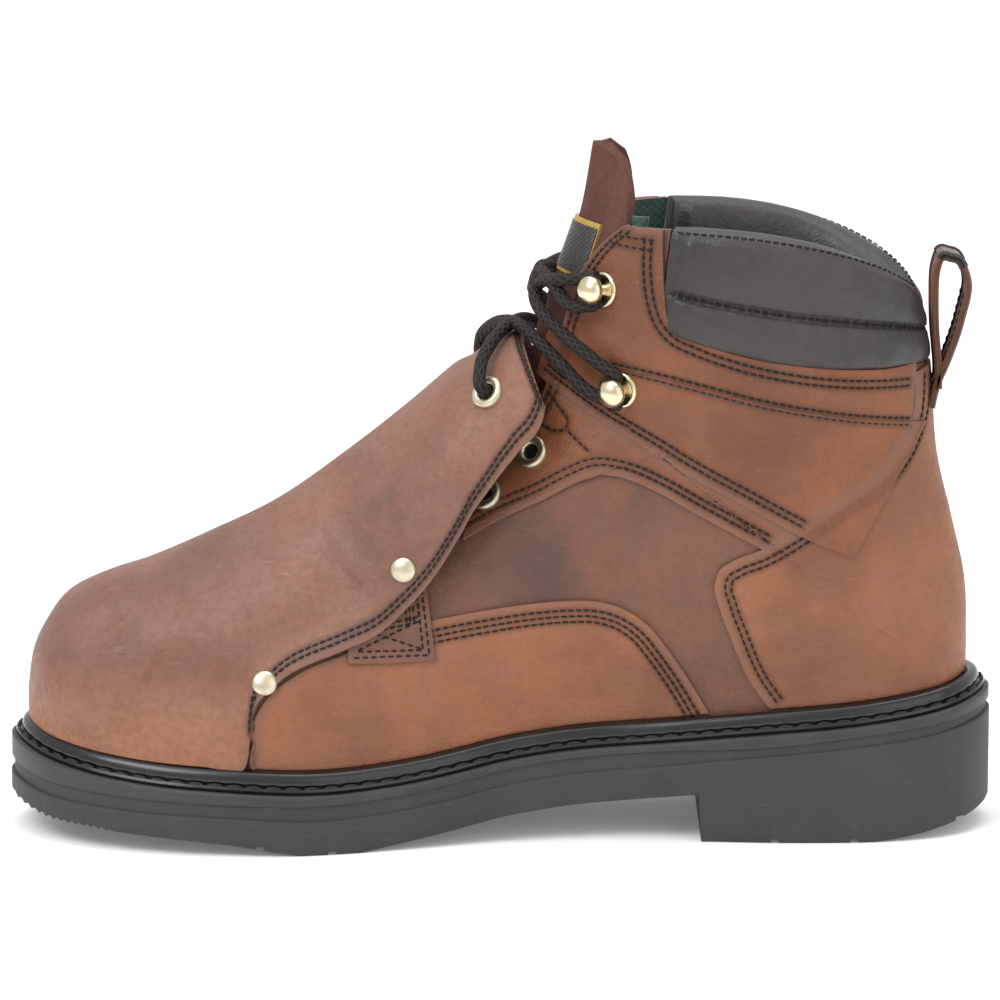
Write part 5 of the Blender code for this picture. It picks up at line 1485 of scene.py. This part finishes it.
def hardware(cover):
    """Rivets, eyelets and hooks; returns the hooks' and guard eyelets' places for the lace."""
    mesh = cover.data
    tree = BVHTree.FromPolygons([v.co for v in mesh.vertices], [p.vertices for p in mesh.polygons])
    places = {}
    for label, side in SIDES:
        for i, (place, height) in enumerate(RIVETS):
            point, out = struck(tree, place, height, side)
            r = RIVET_RADIUS
            section = arc(r, 0.42 * r, 90, 8, 10, (0.0, 0.0002)) + [(r, 0.0), (r, -0.0006), (0.0, -0.0006)]
            turned(f"rivet_head_{label}_{i + 1}", section, point, out, DULL_BRASS, f"rivet_{label}_{i + 1}")
        point, out = places["guard", side] = struck(tree, *GUARD_EYELET, side)
        eyelet(f"guard_eyelet_ring_{label}", point, out, f"guard_eyelet_{label}")
        for i, (place, height) in enumerate(THROAT_EYELETS):
            eyelet(f"eyelet_ring_{label}_{i + 1}", *on_side(place, height, side), f"eyelet_{label}_{i + 1}")
        for i, (place, height) in enumerate(HOOKS):
            point, out = places["hook", side, i] = on_side(place, height, side)
            h, ball, base, neck = HOOK_HEIGHT, HOOK_BALL, HOOK_BASE, HOOK_NECK
            section = arc(ball, 0.36 * h, 90, -62, 16, (0.0, 0.66 * h)) + [(neck, 0.34 * h), (neck, 0.06 * h)]
            section.append((0.62 * base, 0.05 * h))
            section += arc(0.17 * base, 0.07 * h, 150, 0, 6, (0.83 * base, 0.03 * h))
            section += [(base, -0.0004), (0.0, -0.0004)]
            turned(f"hook_post_{label}_{i + 1}", section, point, out, BRASS, f"hook_{label}_{i + 1}")
    return places


# Lace
LACE_OVER_GUARD = (
    (-0.0064, -0.0245, 0.1532), (-0.0030, -0.0150, 0.1592), (0.0030, -0.0010, 0.1630),
    (0.0095, 0.0150, 0.1618), (0.0190, 0.0265, 0.1540), (0.0280, 0.0325, 0.1460),
)
LACE_OVER_TONGUE = (
    (0.0300, 0.0330, 0.1560), (0.0190, 0.0250, 0.1640), (0.0110, 0.0110, 0.1725), (0.0125, 0.0000, 0.1800),
    (0.0170, -0.0160, 0.1780), (0.0240, -0.0270, 0.1730),
)
LACE_TOP = ((0.0210, -0.0230, 0.1810), (0.0140, -0.0120, 0.1790), (0.0105, 0.0000, 0.1745))
LACE_STEP = 0.0006


def round_hook(place, side):
    """Points of the lace behind a hook's neck, from below to above."""
    point, out = place
    centre = point + out * HOOK_HEIGHT * 0.30
    up = np.array([0.0, 0.0, 1.0])
    rear = unit(np.cross(out, up) * -side)
    radius = HOOK_NECK + LACE / 2 + 0.0002
    return [centre + (rear * math.cos(t) + up * math.sin(t)) * radius
            for t in (math.pi * (i / 6 - 0.5) for i in range(7))]


def tube(name, route, radius=LACE / 2, sides=16, spacing=0.0011):
    """Round cord through a route, with a UV map: turns round it, and length in diameters."""
    route = np.asarray(route, float)
    path = along(route, int(run_of(route)[-1] / spacing))
    go = unit(np.gradient(path, axis=0))
    normal = unit(np.cross(go[0], [0.0, 0.0, 1.0]))
    frames = []
    for tangent in go:
        normal = unit(normal - tangent * normal.dot(tangent))
        frames.append(normal)
    frames = np.array(frames)
    across = np.cross(go, frames)
    angles = np.linspace(0, 2 * math.pi, sides + 1)
    points = path[:, None] + radius * (frames[:, None] * np.cos(angles)[None, :, None]
                                       + across[:, None] * np.sin(angles)[None, :, None])
    lengths, turns = crossed(run_of(path) / (2 * radius), angles / (2 * math.pi))
    uv = np.stack([turns, lengths], axis=-1)
    faces = grid_faces(len(path), sides + 1).tolist()
    faces.append(list(range(sides))[::-1])
    faces.append([(len(path) - 1) * (sides + 1) + k for k in range(sides)])
    thing = add_mesh(name, points, faces, LACE_FINISH, uv, solid=True)
    thing.data.shade_smooth()
    return thing


def lace(places):
    strands = []
    for side, step in ((MEDIAL, 0.0), (LATERAL, LACE_STEP)):
        flip = np.array([1.0, -side, 1.0])
        point, out = places["guard", side]
        start = [point - out * 0.004, point + out * 0.0012, point + out * 0.0040]
        over = [np.array(p) * flip + [0, 0, step] for p in LACE_OVER_GUARD]
        middle = [np.array(p) * flip + [0, 0, step] for p in LACE_OVER_TONGUE]
        strands.append(start + over + round_hook(places["hook", -side, 0], -side)
                       + middle + round_hook(places["hook", side, 1], side))
    top = [np.array(p) for p in LACE_TOP]
    first = round_hook(places["hook", MEDIAL, 1], MEDIAL)[-1]
    top = [first] + top + [p * np.array([1.0, -1.0, 1.0]) for p in top[-2::-1]]
    top.append(first * np.array([1.0, -1.0, 1.0]))
    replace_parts(tube("lace_medial", strands[0]), "lace")
    tube("lace_lateral", strands[1])
    tube("lace_top", top)


# The studio
LIGHTS = (
    # name, place, power, size
    ("key", (-0.9, -1.0, 1.5), 19.0, 1.0), ("fill", (1.1, -1.2, 0.8), 5.0, 1.3),
    ("top", (0.1, 0.2, 1.7), 15.0, 1.4),
)
SKY = 0.80
FLOOR_GLOW = 0.12
CAMERA = (-0.00019, -2.0, 0.507)
CAMERA_DROP = 11.365
LENS = 226.94


def studio():
    """Pale floor, soft light and the camera of the photograph."""
    floor = bpy.data.meshes.new("floor")
    floor.from_pydata([(-6, -6, 0), (6, -6, 0), (6, 6, 0), (-6, 6, 0)], [], [(0, 1, 2, 3)])
    ground = bpy.data.objects.new("floor", floor)
    bpy.context.scene.collection.objects.link(ground)
    pale = Finish("pale_floor", 0.9, specular=0.1)
    pale.shader.inputs["Base Color"].default_value = (0.93, 0.93, 0.93, 1.0)
    pale.shader.inputs["Emission Color"].default_value = (1.0, 1.0, 1.0, 1.0)
    pale.shader.inputs["Emission Strength"].default_value = FLOOR_GLOW
    floor.materials.append(pale.material)
    world = bpy.data.worlds.new("studio")
    world.use_nodes = True
    sky = world.node_tree.nodes["Background"]
    sky.inputs[0].default_value = (1.0, 1.0, 1.0, 1.0)
    sky.inputs[1].default_value = SKY
    bpy.context.scene.world = world
    for name, place, energy, size in LIGHTS:
        light = bpy.data.lights.new(name, "AREA")
        light.energy, light.size = energy, size
        lamp = bpy.data.objects.new(name, light)
        lamp.location = place
        lamp.rotation_euler = (Vector((0, 0, 0.08)) - Vector(place)).to_track_quat("-Z", "Y").to_euler()
        bpy.context.scene.collection.objects.link(lamp)
    view = bpy.data.cameras.new("photo")
    view.sensor_width, view.lens = 36.0, LENS
    camera = bpy.data.objects.new("photo", view)
    camera.location = CAMERA
    camera.rotation_euler = (math.radians(90 - CAMERA_DROP), 0.0, 0.0)
    bpy.context.scene.collection.objects.link(camera)
    bpy.context.scene.camera = camera
    bpy.context.scene.view_settings.view_transform = "Standard"


SEAM_ROWS = {side: seam_rows(side) for side in BOTH}
EDGE_PATHS = {side: edge_paths(side) for side in BOTH}
SEAM_TREE = {side: near_tree([row[0] for row in SEAM_ROWS[side]]) for side in BOTH}
EDGE_TREE = {side: near_tree(EDGE_PATHS[side]) for side in BOTH}
BOTH_SEAMS = near_tree([row[0] for side in BOTH for row in SEAM_ROWS[side]])
BOTH_EDGES = near_tree([path for side in BOTH for path in EDGE_PATHS[side]])

studio()
sole()
welt()
upper()
overlays()
cover = guard()
stitching()
collar()
tongue()
pull_loop()
lace(hardware(cover))
